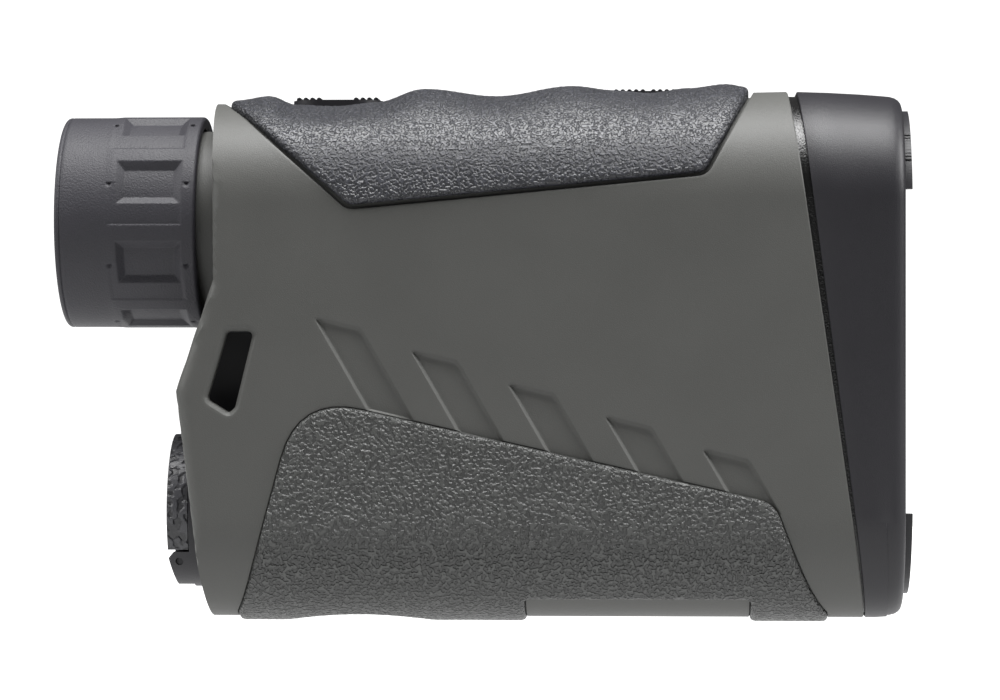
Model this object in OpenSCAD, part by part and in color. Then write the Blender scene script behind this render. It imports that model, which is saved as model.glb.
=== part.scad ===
// Handheld laser rangefinder: moulded two-part housing, front bezel with
// two lenses and a laser window, rubber grips, turning eyepiece, two top
// buttons and a battery cap with a folding lever.
// +X is the way it looks, +Z is up, the XY plane is what it stands on and
// the YZ plane is halfway along it.

/* [Housing] */
// Half of the housing's width, without the grips
half_w = 19.5; // [19:0.1:20.5]
// Underside of the housing
floor_z = 0.6; // [0.6:0.1:0.8]
// Top of the housing at the front
top_z = 74.8; // [74.4:0.1:75.2]
// Wall thickness of the housing
wall = 2.2; // [2:0.1:2.4]
// Radius of the long upper edges
top_r = 15.5; // [14:0.5:16]
// Radius of the long lower edges
bottom_r = 15; // [14:0.5:15.5]
// Radius of the upright rear edges
rear_r = 10; // [8:0.5:11]

/* [Grips] */
// How far the rubber stands proud of the housing
proud = 0.6; // [0.4:0.1:0.6]
// Width of the shadow gap round each grip
grip_gap = 0.7; // [0.4:0.1:1]
// Height of the waves along the top of the upper grip
wave = 0.5; // [0.2:0.1:0.6]

/* [Eyepiece] */
// Height of the viewing axis
view_z = 56.6; // [56:0.1:57]
// Outer radius of the rubber eyecup
eyecup_r = 15.1; // [14.8:0.1:15.4]
// Rear end of the eyecup
eyecup_x = -59.8; // [-60:0.1:-59]

/* [Lenses] */
// Height of the laser window
laser_z = 38.05; // [38:0.05:38.2]
// Height of the receiving lens
receive_z = 19.5; // [19.3:0.1:19.7]
// Outer radius of the two lens cells
cell_r = 12.6; // [12.4:0.1:12.8]
// Clear radius inside the two lens cells
lens_r = 11; // [10.5:0.1:11.2]

/* [Battery] */
// Height of the battery's axis
battery_z = 15.4; // [15.2:0.1:15.6]
// Radius of the battery
battery_r = 8.5; // [8.3:0.1:8.5]
// Length of the battery
battery_len = 34.5; // [34:0.1:34.6]
// Radius of the battery cap
cap_r = 10.95; // [10.8:0.05:11]

/* [Buttons] */
// Centre of the rear button along the top
rear_button_x = -21; // [-21.5:0.1:-20.5]
// Centre of the front button along the top
front_button_x = 23.3; // [23:0.1:23.6]
// Length of the rear button
rear_button_len = 12.9; // [12:0.1:13]
// Length of the front button
front_button_len = 11; // [10:0.1:11.5]
// Width of both buttons
button_w = 9; // [8:0.5:10]

/* [Mounts] */
// Where the tripod socket lies along the underside
tripod_x = 22; // [21.8:0.1:22.2]
// Radius of the quarter-inch tripod thread
tripod_r = 3.25; // [3.2:0.01:3.3]

/* [Hidden] */

$fn = 96;
big = 90;                 // larger than the object, for cutting blocks
fit = 0.05;               // gap of a turning or sliding fit

// side view of the rear face, from the top down
upper_rear_x = -38.1;
knee_z = 48.1;
heel = [-43.5, 31.5];
foot = [-38.8, 0.6];
rear_top_z = 73.3;        // the housing's top slopes up from here
// side view of the joint between housing and bezel
seam_top = [42.9, 74.8];
seam_foot = [53.6, 0.6];
bezel_top = [44.2, 74.8];
bezel_foot = [53.8, 0.6];
bezel_x = 58.9;           // front plane of the bezel
lip_x = 60;               // front of the two lens hoods

// button heights
board_z = 66.4;           // underside of the button board
board_t = 1;
switch_h = 1.6;
rear_flange_z = 70;
front_flange_z = 70.9;
flange_t = 0.6;

// case screws: places in the side view
screw_spots = [[-18.5, 63.5], [1.4, 69.8], [32.2, 69.5], [-17, 28.3], [1.3, 20], [30, 6.8]];
screw_r = 0.8;
head_r = 1.6;
head_y = 12.4;            // outer end of the case screws' heads
head_h = 1.4;
boss_r = 2;

// battery bay, along X
seat_x = -39.4;           // flat that the cap closes on
cap_in_x = -39.6;         // inner face of the cap's disc
cap_out_x = -41.4;        // outer face of the cap's disc
bail_x = -44.4;           // outer face of the folded lever
tube_r = 10.8;
tube_end_x = -1.2;
cell_back_x = -2.9;       // positive end of the battery
plug_r = 10;
pin_at = [-42.9, 8.4];    // lever pin in the side view
pin_r = 0.55;
block_z = 9.8;            // top of the lever's hinge block

// eyepiece, along X
collar_r = 13;
sleeve_r = 12;
bore_r = 10.05;
tube_back_x = -53.2;
eyecup_front_x = -39.9;

// ---------- shared outlines and forms ----------

function lerp(a, b, t) = a + (b - a) * t;
// places on the two seam lines at a height
function seam_x(z) = lerp(seam_foot[0], seam_top[0], (z - seam_foot[1]) / (seam_top[1] - seam_foot[1]));
function bezel_seam_x(z) =
    lerp(bezel_foot[0], bezel_top[0], (z - bezel_foot[1]) / (bezel_top[1] - bezel_foot[1]));
// top of the upper grip: a gentle rise with a wave that dips at each button
function crest_z(x) = 74.2 + 0.02 * (x + 35) + wave * cos(360 * (x + 9.7) / 22);

// turns a side view drawn in X and Y into a wall from y0 to y1
module side_wall(y0, y1) {
    translate([0, y1, 0]) rotate([90, 0, 0]) linear_extrude(y1 - y0) children();
}

// turns a front view drawn in Y and Z into a length from x0 to x1
module front_bar(x0, x1) {
    translate([x0, 0, 0]) rotate([90, 0, 90]) linear_extrude(x1 - x0) children();
}

// a plain rod along X at a height
module rod_x(r, x0, x1, z = 0, y = 0) {
    translate([x0, y, z]) rotate([0, 90, 0]) cylinder(r = r, h = x1 - x0);
}

// a plain rod along Y in the side view
module rod_y(r, y0, y1, at) {
    translate([at[0], y0, at[1]]) rotate([-90, 0, 0]) cylinder(r = r, h = y1 - y0);
}

// a plain block between pairs of limits; the Y pair may run either way
module box(x, y, z) {
    translate([x[0], min(y), z[0]]) cube([x[1] - x[0], max(y) - min(y), z[1] - z[0]]);
}

// puts a shape drawn on the +Y side on the chosen side
module outwards(side) {
    mirror([0, side < 0 ? 1 : 0, 0]) children();
}

// front view of the housing, drawn inset by a wall thickness
module section(inset = 0) {
    w = half_w - inset;
    tr = top_r - inset;
    br = bottom_r - inset;
    lo = floor_z + inset;
    hi = top_z - inset;
    for (side = [-1, 1]) {
        translate([side * (w - tr), hi - tr]) circle(tr);
        translate([side * (w - br), lo + br]) circle(br);
    }
    translate([-w, lo + br]) square([2 * w, hi - tr - lo - br]);
    translate([tr - w, hi - tr]) square([2 * (w - tr), tr]);
    translate([br - w, lo]) square([2 * (w - br), br]);
}

// a block whose rear face starts at a point, leans by an angle and has
// rounded upright edges
module rear_block(at, lean, inset) {
    r = rear_r - inset;
    w = half_w - inset;
    translate([at[0], 0, at[1]]) rotate([0, lean, 0]) translate([inset, 0, -big]) linear_extrude(2 * big) {
        for (side = [-1, 1]) translate([r, side * (w - r)]) circle(r);
        translate([0, r - w]) square([r, 2 * (w - r)]);
        translate([r, -w]) square([2 * big, 2 * w]);
    }
}

// the housing without its front cut, inset by a wall thickness
module form(inset = 0) {
    upper_lean = atan2(upper_rear_x - heel[0], knee_z - heel[1]);
    lower_lean = atan2(foot[0] - heel[0], heel[1] - foot[1]);
    intersection() {
        front_bar(-big, big) section(inset);
        union() {
            intersection() {
                rear_block([upper_rear_x, knee_z], 0, inset);
                box([-big, big], [-big, big], [knee_z, big]);
            }
            intersection() {
                rear_block(heel, upper_lean, inset);
                rear_block(heel, -lower_lean, inset);
                box([-big, big], [-big, big], [-1, knee_z]);
            }
        }
        // the top slopes down towards the rear
        side_wall(-big, big) polygon([
            [-big, -1], [big, -1], [big, top_z - inset],
            [seam_top[0], top_z - inset], [upper_rear_x, rear_top_z - inset],
            [-big, rear_top_z - inset]
        ]);
    }
}

// the same, cut at the middle plane
module half_form(side, inset = 0) {
    intersection() {
        form(inset);
        box([-big, big], side * [0, big], [-1, big]);
    }
}

// side view of the lower grips
module lower_grip_outline() {
    offset(r = 4) offset(delta = -4)
        polygon([[-37.3, -9], [-25, 32], [40.8, 17.1], [53.6, -9]]);
}

// side view of the upper grip
module upper_grip_outline() {
    offset(r = 1.5) offset(delta = -1.5)
        polygon([[-46, 83], [-17.5, 58.4], [31.3, 62.9], [43.6, 83]]);
}

// the smooth pad under the body, in plan
pad_x = [6.5, 37.3];
pad_y = 13.4;

// an oval in plan, as long and wide as a button
module oval(len, w, grow = 0) {
    r = w / 2 + grow;
    for (end = [-1, 1]) translate([end * (len / 2 - w / 2), 0]) circle(r);
    translate([w / 2 - len / 2, -r]) square([len - w, 2 * r]);
}

// a shape cut away where either button passes
module button_holes(grow) {
    translate([rear_button_x, 0, board_z]) linear_extrude(20) oval(rear_button_len, button_w, grow);
    translate([front_button_x, 0, board_z]) linear_extrude(20) oval(front_button_len, button_w, grow);
}

// strap slot in the side view
module slot_outline() {
    polygon([[-34.9, 40.9], [-31.2, 40.9], [-33.8, 30.2], [-34.7, 29.6], [-37.7, 31.5]]);
}
chamber_y = [9, 14];

// ---------- housing ----------

module grip_recess(grow) {
    difference() {
        union() {
            side_wall(-big, big) offset(delta = grow) lower_grip_outline();
            side_wall(-big, big) offset(delta = grow) upper_grip_outline();
        }
        form(proud);
    }
}

module stripes() {
    run = 15.5;
    for (i = [0:4]) translate([-23 + 13.4 * i, 43 - 4.53 * i])
        polygon([[0, 0], [6.8, -1.6], [6.8 + run * cos(60), -1.6 - run * sin(60)], [run * cos(60), -run * sin(60)]]);
}

// one half of the housing: side is -1 on the right and 1 on the left
module housing(side) {
    difference() {
        union() {
            difference() {
                half_form(side);
                form(wall);
            }
            intersection() {
                half_form(side);
                union() {
                    rod_x(15.5, -44, -30, view_z);
                    rod_x(12.9, -44, -35, battery_z);
                    translate([tripod_x, 0, 0]) cylinder(r = 6.8, h = 8);
                    for (at = screw_spots) rod_y(boss_r, -big, big, at);
                    // closed pocket behind the strap slot
                    box([-45, -30], side * [7, big], [28, 43]);
                    // ledges on the right that carry the optical frame
                    for (x = [-12, 30]) box([x, x + 4], [-big, -11], [39.4, 42.3]);
                }
            }
        }
        // front opening
        side_wall(-big, big) polygon([
            [seam_x(-2), -2], [big, -2], [big, big], [seam_x(big), big]
        ]);
        // eyepiece collar and its flange
        rod_x(collar_r + 0.02, -50, -29, view_z);
        rod_x(14.52, -33.02, -30.98, view_z);
        // relief for the front of the eyecup
        rod_x(eyecup_r + 0.4, -50, eyecup_front_x + 0.4, view_z);
        // battery bay with its spot face
        rod_x(cap_r + 0.45, -50, seat_x, battery_z);
        rod_x(tube_r + 0.02, -50, -30, battery_z);
        // tripod bush
        translate([tripod_x, 0, -1]) cylinder(r = 5.02, h = 5);
        translate([tripod_x, 0, 3.98]) cylinder(r = 6.02, h = 10);
        // case screws
        for (at = screw_spots) {
            rod_y(screw_r, -12, 30, at);
            rod_y(head_r + 0.2, head_y - head_h, 30, at);
        }
        for (x = [-10, 32]) translate([x, -12.3, 38]) cylinder(r = 0.7, h = 10);
        // strap slot and its chamber
        outwards(side) side_wall(chamber_y[0], big) slot_outline();
        box([-50, -33], side * chamber_y, [31, 40.5]);
        outwards(side) side_wall(half_w - 0.5, big) stripes();
        button_holes(0.25);
        grip_recess(grip_gap);
        // seat of the smooth pad
        difference() {
            box([pad_x[0] - 0.1, pad_x[1] + 0.1], [-pad_y - 0.1, pad_y + 0.1], [-1, 9]);
            form(1.3);
        }
    }
}

module right_housing_shell() {
    color([0.36, 0.36, 0.34]) housing(-1);
}

module left_housing_shell() {
    color([0.34, 0.35, 0.33]) housing(1);
}

// a socket-headed screw along -Y whose head ends at y
module case_screw(at, y, len, r = screw_r, head = head_r) {
    rod_y(r, y - len, y, at);
    difference() {
        rod_y(head, y - head_h, y, at);
        translate([at[0], y - head_h / 2, at[1]]) rotate([-90, 0, 0]) cylinder(r = r, h = 2, $fn = 6);
    }
}

module shell_screws() {
    color([0.7, 0.7, 0.72]) for (at = screw_spots) case_screw(at, head_y, 24);
}

module front_bezel() {
    color([0.16, 0.16, 0.17]) difference() {
        union() {
            intersection() {
                front_bar(20, bezel_x) section();
                side_wall(-big, big) polygon([
                    [bezel_seam_x(-2), -2], [bezel_x, -2], [bezel_x, 73.9],
                    [bezel_top[0] + 0.4, top_z], [bezel_seam_x(top_z), top_z]
                ]);
            }
            // spigot that goes inside the housing
            intersection() {
                front_bar(20, 56) section(wall + 0.1);
                side_wall(-big, big) polygon([
                    [seam_x(-2) - 3, -2], [bezel_x, -2], [bezel_x, big], [seam_x(big) - 3, big]
                ]);
            }
        }
        front_bar(20, 53) section(wall + 1.6);
        // shelf for the front panel, then the rest of the way through
        front_bar(54, big) section(2.6);
        rod_x(cell_r + 0.05, 20, big, view_z);
        rod_x(cell_r + 0.05, 20, big, receive_z);
        rod_x(4.25, 20, big, laser_z);
        for (y = [-13, 13], z = [35, 41]) rod_x(screw_r, 20, big, z, y);
    }
}

module bezel_gasket() {
    color([0.05, 0.05, 0.05]) difference() {
        intersection() {
            front_bar(20, 56) section(0.7);
            side_wall(-big, big) polygon([
                [seam_x(0.5), 0.5], [bezel_seam_x(0.5), 0.5],
                [bezel_seam_x(76), 76], [seam_x(76), 76]
            ]);
        }
        front_bar(20, 60) section(wall + 0.1);
    }
}

// the part of a ring round a lens that lies above or below a height
module lens_hood(z, keep) {
    difference() {
        intersection() {
            rod_x(cell_r + 3.2, 55, lip_x, z);
            box([50, 61], [-big, big], keep);
            front_bar(20, big) section(2.7);
        }
        translate([lip_x + 0.01, 0, z]) rotate([0, -90, 0])
            cylinder(r1 = cell_r + 1.6, r2 = cell_r + 0.05, h = 3);
    }
}

module front_panel() {
    color([0.08, 0.08, 0.09]) difference() {
        union() {
            front_bar(54.05, 57.4) section(2.7);
            lens_hood(view_z, [60.6, 72.2]);
            lens_hood(receive_z, [3.4, 15.6]);
        }
        rod_x(cell_r + 0.05, 50, big, view_z);
        rod_x(cell_r + 0.05, 50, big, receive_z);
        rod_x(4.25, 50, big, laser_z);
        for (y = [-13, 13], z = [35, 41]) rod_x(head_r + 0.2, 50, 55.6, z, y);
    }
}

module bezel_screws() {
    color([0.7, 0.7, 0.72]) for (y = [-13, 13], z = [35, 41]) {
        rod_x(screw_r, 41, 54, z, y);
        difference() {
            rod_x(head_r, 54, 55.4, z, y);
            translate([54.8, y, z]) rotate([0, 90, 0]) cylinder(r = screw_r, h = 2, $fn = 6);
        }
    }
}

// ---------- grips and mounts ----------

module top_grip() {
    color([0.3, 0.32, 0.36]) difference() {
        intersection() {
            front_bar(-big, big) translate([0, proud]) section(-proud);
            side_wall(-big, big) intersection() {
                upper_grip_outline();
                polygon([
                    for (x = [-38:2:40]) [x, crest_z(x)],
                    [40, 50], [-38, 50]
                ]);
            }
        }
        form(proud);
        button_holes(0.4);
    }
}

// one side grip wraps from the side to the middle of the underside
module side_grip(side) {
    difference() {
        intersection() {
            front_bar(-big, big) section(-proud);
            side_wall(-big, big) lower_grip_outline();
            box([-big, big], side * [0.1, big], [-1, 40]);
        }
        form(proud);
        box([pad_x[0] - 0.3, pad_x[1] + 0.3], [-pad_y - 0.3, pad_y + 0.3], [-1, 9]);
        // shallow hollow for the fingers
        translate([-17.2, 0, -51.9]) rotate([90, 0, 0]) cylinder(r = 53, h = 60, center = true);
    }
}

module right_grip() {
    color([0.35, 0.35, 0.33]) side_grip(-1);
}

module left_grip() {
    color([0.35, 0.35, 0.33]) side_grip(1);
}

module base_pad() {
    color([0.33, 0.33, 0.31]) difference() {
        intersection() {
            form(0.1);
            box(pad_x, [-pad_y, pad_y], [-1, 9]);
        }
        form(1.3);
        translate([tripod_x, 0, -1]) cylinder(r = 5.02, h = 5);
    }
}

module tripod_bush() {
    color([0.75, 0.6, 0.3]) difference() {
        union() {
            translate([tripod_x, 0, floor_z + 0.1]) cylinder(r = 5, h = 6);
            translate([tripod_x, 0, 4]) cylinder(r = 6, h = 4.4);
        }
        translate([tripod_x, 0, -1]) cylinder(r = tripod_r, h = 8.4);
    }
}

// ---------- eyepiece ----------

module eyepiece_tube() {
    color([0.3, 0.3, 0.29]) difference() {
        union() {
            rod_x(collar_r, -42, -31, view_z);
            rod_x(14.5, -33, -31, view_z);
            rod_x(sleeve_r, tube_back_x, -41, view_z);
        }
        rod_x(bore_r, -60, -30, view_z);
        // groove for the ring that seals the eyepiece
        ring_x(11.45, 12.5, -46.1, -44.9, view_z);
    }
}

// a plain ring along X
module ring_x(r_in, r_out, x0, x1, z) {
    difference() {
        rod_x(r_out, x0, x1, z);
        rod_x(r_in, x0 - 1, x1 + 1, z);
    }
}

// a ring of round section along X
module o_ring(r, thick, x, z) {
    translate([x, 0, z]) rotate([0, 90, 0]) rotate_extrude() translate([r, 0]) circle(thick / 2, $fn = 24);
}

module tube_o_ring() {
    color([0.1, 0.1, 0.1]) o_ring(11.95, 0.7, -45.5, view_z);
}

module diopter_ring() {
    color([0.12, 0.12, 0.13]) difference() {
        rod_x(13.5, -54.3, -42.2, view_z);
        rod_x(sleeve_r + 0.35, -53.3, -40, view_z);
        rod_x(10.3, -60, -50, view_z);
    }
}

// one rounded hollow of the eyecup's grip band
module eyecup_pocket() {
    intersection() {
        box([-51.4, -41.7], [-3.35, 3.35], [14, 17]);
        translate([-46.55, 0, 14]) linear_extrude(6) oval(9.7, 6.7);
    }
}

module eyecup() {
    color([0.13, 0.13, 0.14]) difference() {
        translate([0, 0, view_z]) rotate([0, 90, 0]) rotate_extrude() polygon([
            [12.2, eyecup_x + 0.5], [12.6, eyecup_x], [eyecup_r - 0.5, eyecup_x],
            [eyecup_r, eyecup_x + 0.5], [eyecup_r - 0.2, eyecup_front_x - 0.6],
            [eyecup_r - 0.8, eyecup_front_x], [13.5, eyecup_front_x], [13.5, -54.4],
            [12.2, -54.6]
        ]);
        for (i = [0:7]) translate([0, 0, view_z]) rotate([24.4 + 45 * i, 0, 0]) eyecup_pocket();
    }
}

module ocular_cell() {
    color([0.1, 0.1, 0.1]) difference() {
        rod_x(bore_r - fit, -53.3, -36, view_z);
        rod_x(8.9, -60, -46.5, view_z);
        rod_x(7.6, -60, -30, view_z);
        rod_x(8.9, -41.5, -30, view_z);
    }
}

// a lens with two round faces, between x0 and x1
module lens(r, x0, x1, z, bulge) {
    ball = (r * r + bulge * bulge) / (2 * bulge);
    intersection() {
        rod_x(r, x0 - 1, x1 + 1, z);
        translate([x0 + ball, 0, z]) sphere(ball, $fn = 128);
        translate([x1 - ball, 0, z]) sphere(ball, $fn = 128);
    }
}

module eye_lens() {
    color([0.5, 0.6, 0.75]) lens(8.85, -51.6, -46.5, view_z, 1.6);
}

module field_lens() {
    color([0.5, 0.6, 0.75]) lens(8.85, -41.5, -37.2, view_z, 1.2);
}

module ocular_retainer() {
    color([0.1, 0.1, 0.1]) ring_x(7.9, 8.85, -53, -50.4, view_z);
}

// ---------- optics ----------

module optical_frame() {
    color([0.5, 0.5, 0.52]) difference() {
        union() {
            // front bulkhead
            intersection() {
                front_bar(39.2, 42.2) section(wall + 2.2);
                side_wall(-big, big) polygon([[30, 4], [44, 4], [44, 72], [30, 72]]);
            }
            // deck
            box([-23.5, 40], [-13.6, 12], [42.4, 43.9]);
            // rear bulkhead
            box([-23.5, -21.5], [-11.5, 11.5], [42.4, board_z]);
            // posts under the front of the button board
            for (side = [-1, 1]) box([31, 33], side * [8.6, 10], [43, board_z]);
            // lugs for the main board
            for (x = [-10, 33]) box([x, x + 4], [11, 13.9], [42.4, 48]);
        }
        rod_x(cell_r + 0.02, 38, 50, view_z);
        rod_x(cell_r + 0.02, 38, 50, receive_z);
        rod_x(4.22, 10, 50, laser_z);
        rod_x(7, -30, -10, view_z);
        for (x = [-10, 32]) translate([x, -12.3, 38]) cylinder(r = 0.9, h = 10);
        for (x = [-8, 35]) rod_y(0.7, 9, 20, [x, 46]);
        for (y = [-13, 13], z = [35, 41]) rod_x(screw_r, 30, 50, z, y);
    }
}

module frame_screws() {
    color([0.7, 0.7, 0.72]) for (x = [-10, 32]) {
        translate([x, -12.3, 39]) cylinder(r = 0.7, h = 5);
        translate([x, -12.3, 43.9]) cylinder(r = 1.3, h = 1);
    }
}

module objective_cell() {
    color([0.1, 0.1, 0.1]) difference() {
        rod_x(cell_r, 38, 57, view_z);
        rod_x(lens_r + 0.02, 50, 60, view_z);
        rod_x(lens_r - 1, 30, 60, view_z);
    }
}

module objective_lens() {
    color([0.45, 0.35, 0.65]) lens(lens_r, 50.02, 55, view_z, 1.6);
}

module objective_retainer() {
    color([0.1, 0.1, 0.1]) ring_x(lens_r - 0.7, lens_r, 53.8, 56.4, view_z);
}

module receiver_barrel() {
    color([0.1, 0.1, 0.1]) difference() {
        union() {
            rod_x(cell_r, 38, 57, receive_z);
            translate([12, 0, receive_z]) rotate([0, 90, 0]) cylinder(r1 = 5.5, r2 = cell_r, h = 26);
        }
        rod_x(lens_r + 0.02, 50, 60, receive_z);
        rod_x(lens_r - 1, 38, 60, receive_z);
        translate([11.9, 0, receive_z]) rotate([0, 90, 0]) cylinder(r1 = 4.2, r2 = lens_r - 1, h = 26.2);
    }
}

module receiver_lens() {
    color([0.45, 0.5, 0.65]) lens(lens_r, 50.02, 55, receive_z, 1.9);
}

module receiver_retainer() {
    color([0.1, 0.1, 0.1]) ring_x(lens_r - 0.7, lens_r, 53.8, 56.4, receive_z);
}

module detector() {
    color([0.75, 0.72, 0.6]) union() {
        rod_x(4.1, 6.6, 11.9, receive_z);
        rod_x(4.6, 6, 6.6, receive_z);
        for (turn = [0:90:270]) translate([0, 0, receive_z]) rotate([turn, 0, 0]) rod_x(0.25, 4, 6.1, 2.2);
    }
}

module detector_board() {
    color([0.1, 0.35, 0.2]) difference() {
        box([4.5, 6], [-8, 8], [11.5, 28]);
        for (turn = [0:90:270]) translate([0, 0, receive_z]) rotate([turn, 0, 0]) rod_x(0.3, 3, 7, 2.2);
    }
}

module emitter_barrel() {
    color([0.1, 0.1, 0.1]) difference() {
        rod_x(4.2, 22, 56.6, laser_z);
        rod_x(3.05, 50, 60, laser_z);
        rod_x(2.3, 20, 60, laser_z);
        rod_x(2.85, 20, 26, laser_z);
    }
}

module emitter_lens() {
    color([0.6, 0.3, 0.35]) lens(3, 50.02, 53, laser_z, 0.6);
}

module laser_diode() {
    color([0.8, 0.7, 0.4]) union() {
        rod_x(2.35, 22, 24.8, laser_z);
        rod_x(2.8, 20.8, 22, laser_z);
        for (turn = [30:120:270]) translate([0, 0, laser_z]) rotate([turn, 0, 0]) rod_x(0.23, 15, 21, 1.3);
    }
}

// the gap between the prisms leans from its foot to its head
gap_foot = 13.5;
gap_head = 20;

module half_penta_prism() {
    color([0.75, 0.85, 0.9]) side_wall(-8, 8)
        polygon([[gap_foot, 48], [29, 48], [29, 65], [gap_head, 65]]);
}

module roof_prism() {
    color([0.75, 0.85, 0.9]) side_wall(-8, 8)
        polygon([[gap_foot - 0.6, 48], [gap_head - 0.6, 65], [3, 65], [3, 57]]);
}

module prism_holder() {
    color([0.2, 0.2, 0.21]) difference() {
        box([1, 30.5], [-9.6, 9.6], [43.9, 58]);
        box([2.9, 29.1], [-8.05, 8.05], [48, 60]);
        rod_x(7, 0, 40, view_z);
        // lightening bay under the prisms
        box([5, 26], [-7, 7], [45.2, 46.6]);
    }
}

module display_panel() {
    color([0.6, 0.7, 0.72]) difference() {
        box([-25.5, -23.5], [-9, 9], [47.5, 65.5]);
        box([-26, -24.9], [-7, 7], [49.6, 63.6]);
    }
}

// ---------- electronics ----------

board_y = [13.9, 15.1];

module main_board() {
    color([0.1, 0.35, 0.2]) difference() {
        box([-13.5, 39], board_y, [27, 50]);
        for (x = [-8, 35]) rod_y(0.9, 10, 20, [x, 46]);
    }
}

// each chip: lower rear corner, length and height
chips = [[-9, 31, 9, 9], [4, 30, 7, 7], [4, 40, 5, 6], [15, 32, 12, 10], [30, 30, 4, 5]];

module board_chips() {
    color([0.08, 0.08, 0.08]) for (chip = chips)
        box([chip[0], chip[0] + chip[2]], [board_y[1], board_y[1] + 1.1], [chip[1], chip[1] + chip[3]]);
}

module board_screws() {
    color([0.7, 0.7, 0.72]) for (x = [-8, 35]) {
        rod_y(0.7, 11.2, board_y[1], [x, 46]);
        rod_y(1.4, board_y[1], board_y[1] + 1, [x, 46]);
    }
}

module button_board() {
    color([0.1, 0.35, 0.2]) box([-25, 33], [-10, 10], [board_z, board_z + board_t]);
}

// a square switch with a well for its plunger
module tact_switch(x) {
    difference() {
        box([x - 3, x + 3], [-3, 3], [board_z + board_t, board_z + board_t + switch_h]);
        translate([x, 0, board_z + board_t + 0.2]) cylinder(r = 1.6, h = 5);
    }
}

module tact_switches() {
    color([0.55, 0.55, 0.56]) for (x = [rear_button_x, front_button_x]) tact_switch(x);
}

module flex_cable() {
    color([0.8, 0.5, 0.2]) translate([-3, 0, 0]) front_bar(0, 8) polygon([
        [8, 66.4], [8, 66.1], [12.9, 66.1], [13.6, 65.4], [13.6, 47], [13.9, 47], [13.9, 65.5], [13, 66.4]
    ]);
}

// ---------- buttons ----------

module rear_button_seal() {
    color([0.15, 0.15, 0.15]) translate([rear_button_x, 0, rear_flange_z + flange_t]) linear_extrude(0.6)
        difference() {
            oval(rear_button_len, button_w, 1.2);
            oval(rear_button_len, button_w, 0.25);
        }
}

module front_button_seal() {
    color([0.15, 0.15, 0.15]) translate([front_button_x, 0, front_flange_z + flange_t]) linear_extrude(0.6)
        difference() {
            oval(front_button_len, button_w, 1.2);
            oval(front_button_len, button_w, 0.25);
        }
}

// small ribs across both ends of a button's top
module button_teeth(len, count, z) {
    for (end = [-1, 1], i = [1:count])
        translate([end * (len / 2 - 0.95 * i), 0, z]) rotate([90, 0, 0]) cylinder(r = 0.35, h = 4.6, center = true);
}

module rear_button() {
    color([0.1, 0.1, 0.11]) translate([rear_button_x, 0, 0]) {
        translate([0, 0, rear_flange_z]) linear_extrude(flange_t) oval(rear_button_len, button_w, 1);
        translate([0, 0, rear_flange_z]) linear_extrude(73.9 - rear_flange_z) oval(rear_button_len, button_w);
        button_teeth(rear_button_len, 4, 74);
    }
}

module front_button() {
    color([0.1, 0.1, 0.11]) translate([front_button_x, 0, 0]) {
        translate([0, 0, front_flange_z]) linear_extrude(flange_t) oval(front_button_len, button_w, 1);
        translate([0, 0, front_flange_z]) linear_extrude(75 - front_flange_z) oval(front_button_len, button_w);
        button_teeth(front_button_len, 5, 75.05);
    }
}

module rear_plunger() {
    color([0.8, 0.8, 0.78]) translate([rear_button_x, 0, 68.5]) cylinder(r = 1.5, h = rear_flange_z - 68.5);
}

module front_plunger() {
    color([0.8, 0.8, 0.78]) translate([front_button_x, 0, 68.5]) cylinder(r = 1.5, h = front_flange_z - 68.5);
}

// ---------- battery ----------

module battery_tube() {
    color([0.25, 0.25, 0.26]) difference() {
        rod_x(tube_r, seat_x, tube_end_x, battery_z);
        rod_x(battery_r + 0.3, -50, tube_end_x - 1.2, battery_z);
        rod_x(plug_r + fit, -50, -33.5, battery_z);
    }
}

module tube_contact() {
    color([0.8, 0.75, 0.5]) rod_x(4, cell_back_x, tube_end_x - 1.2, battery_z);
}

module battery_cell() {
    color([0.75, 0.75, 0.78]) union() {
        rod_x(battery_r, cell_back_x - battery_len, cell_back_x - 1.2, battery_z);
        rod_x(3, cell_back_x - 1.3, cell_back_x - fit, battery_z);
    }
}

module battery_cap() {
    color([0.33, 0.33, 0.31]) difference() {
        union() {
            rod_x(cap_r, cap_out_x, cap_in_x, battery_z);
            rod_x(plug_r, -41, -35, battery_z);
            // hinge block, rounded like the cap
            intersection() {
                rod_x(cap_r, bail_x, cap_out_x + 0.1, battery_z);
                side_wall(-big, big) polygon([
                    [bail_x + 0.9, 4], [-41, 4], [-41, block_z],
                    [bail_x + 0.8, block_z], [bail_x, block_z - 0.9]
                ]);
            }
        }
        rod_x(battery_r + 0.2, cap_in_x, -30, battery_z);
        ring_x(9.2, 11, -38.3, -37.3, battery_z);
        box([-50, cap_out_x], [-3.1, 3.1], [0, 12]);
        rod_y(pin_r, -20, 20, pin_at);
    }
}

module cap_o_ring() {
    color([0.1, 0.1, 0.1]) o_ring(9.62, 0.8, -37.8, battery_z);
}

module cap_contact() {
    turns = 3;
    steps = 72;
    sides = 8;
    wire = 0.25;
    x0 = cap_in_x + 0.3;
    x1 = cell_back_x - battery_len - 0.35;
    // wire sections along a cone-shaped coil
    points = [for (i = [0:steps]) let (t = i / steps, a = 360 * turns * t, r = lerp(6.5, 3, t))
        for (j = [0:sides - 1]) let (b = 360 * j / sides, q = r + wire * cos(b))
            [lerp(x0, x1, t) + wire * sin(b), q * cos(a), battery_z + q * sin(a)]];
    faces = concat(
        [[for (j = [0:sides - 1]) j]],
        [for (i = [0:steps - 1]) for (j = [0:sides - 1])
            [i * sides + j, (i + 1) * sides + j, (i + 1) * sides + (j + 1) % sides, i * sides + (j + 1) % sides]],
        [[for (j = [sides - 1:-1:0]) steps * sides + j]]
    );
    color([0.75, 0.75, 0.7]) polyhedron(points, faces, convexity = 6);
}

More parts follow.
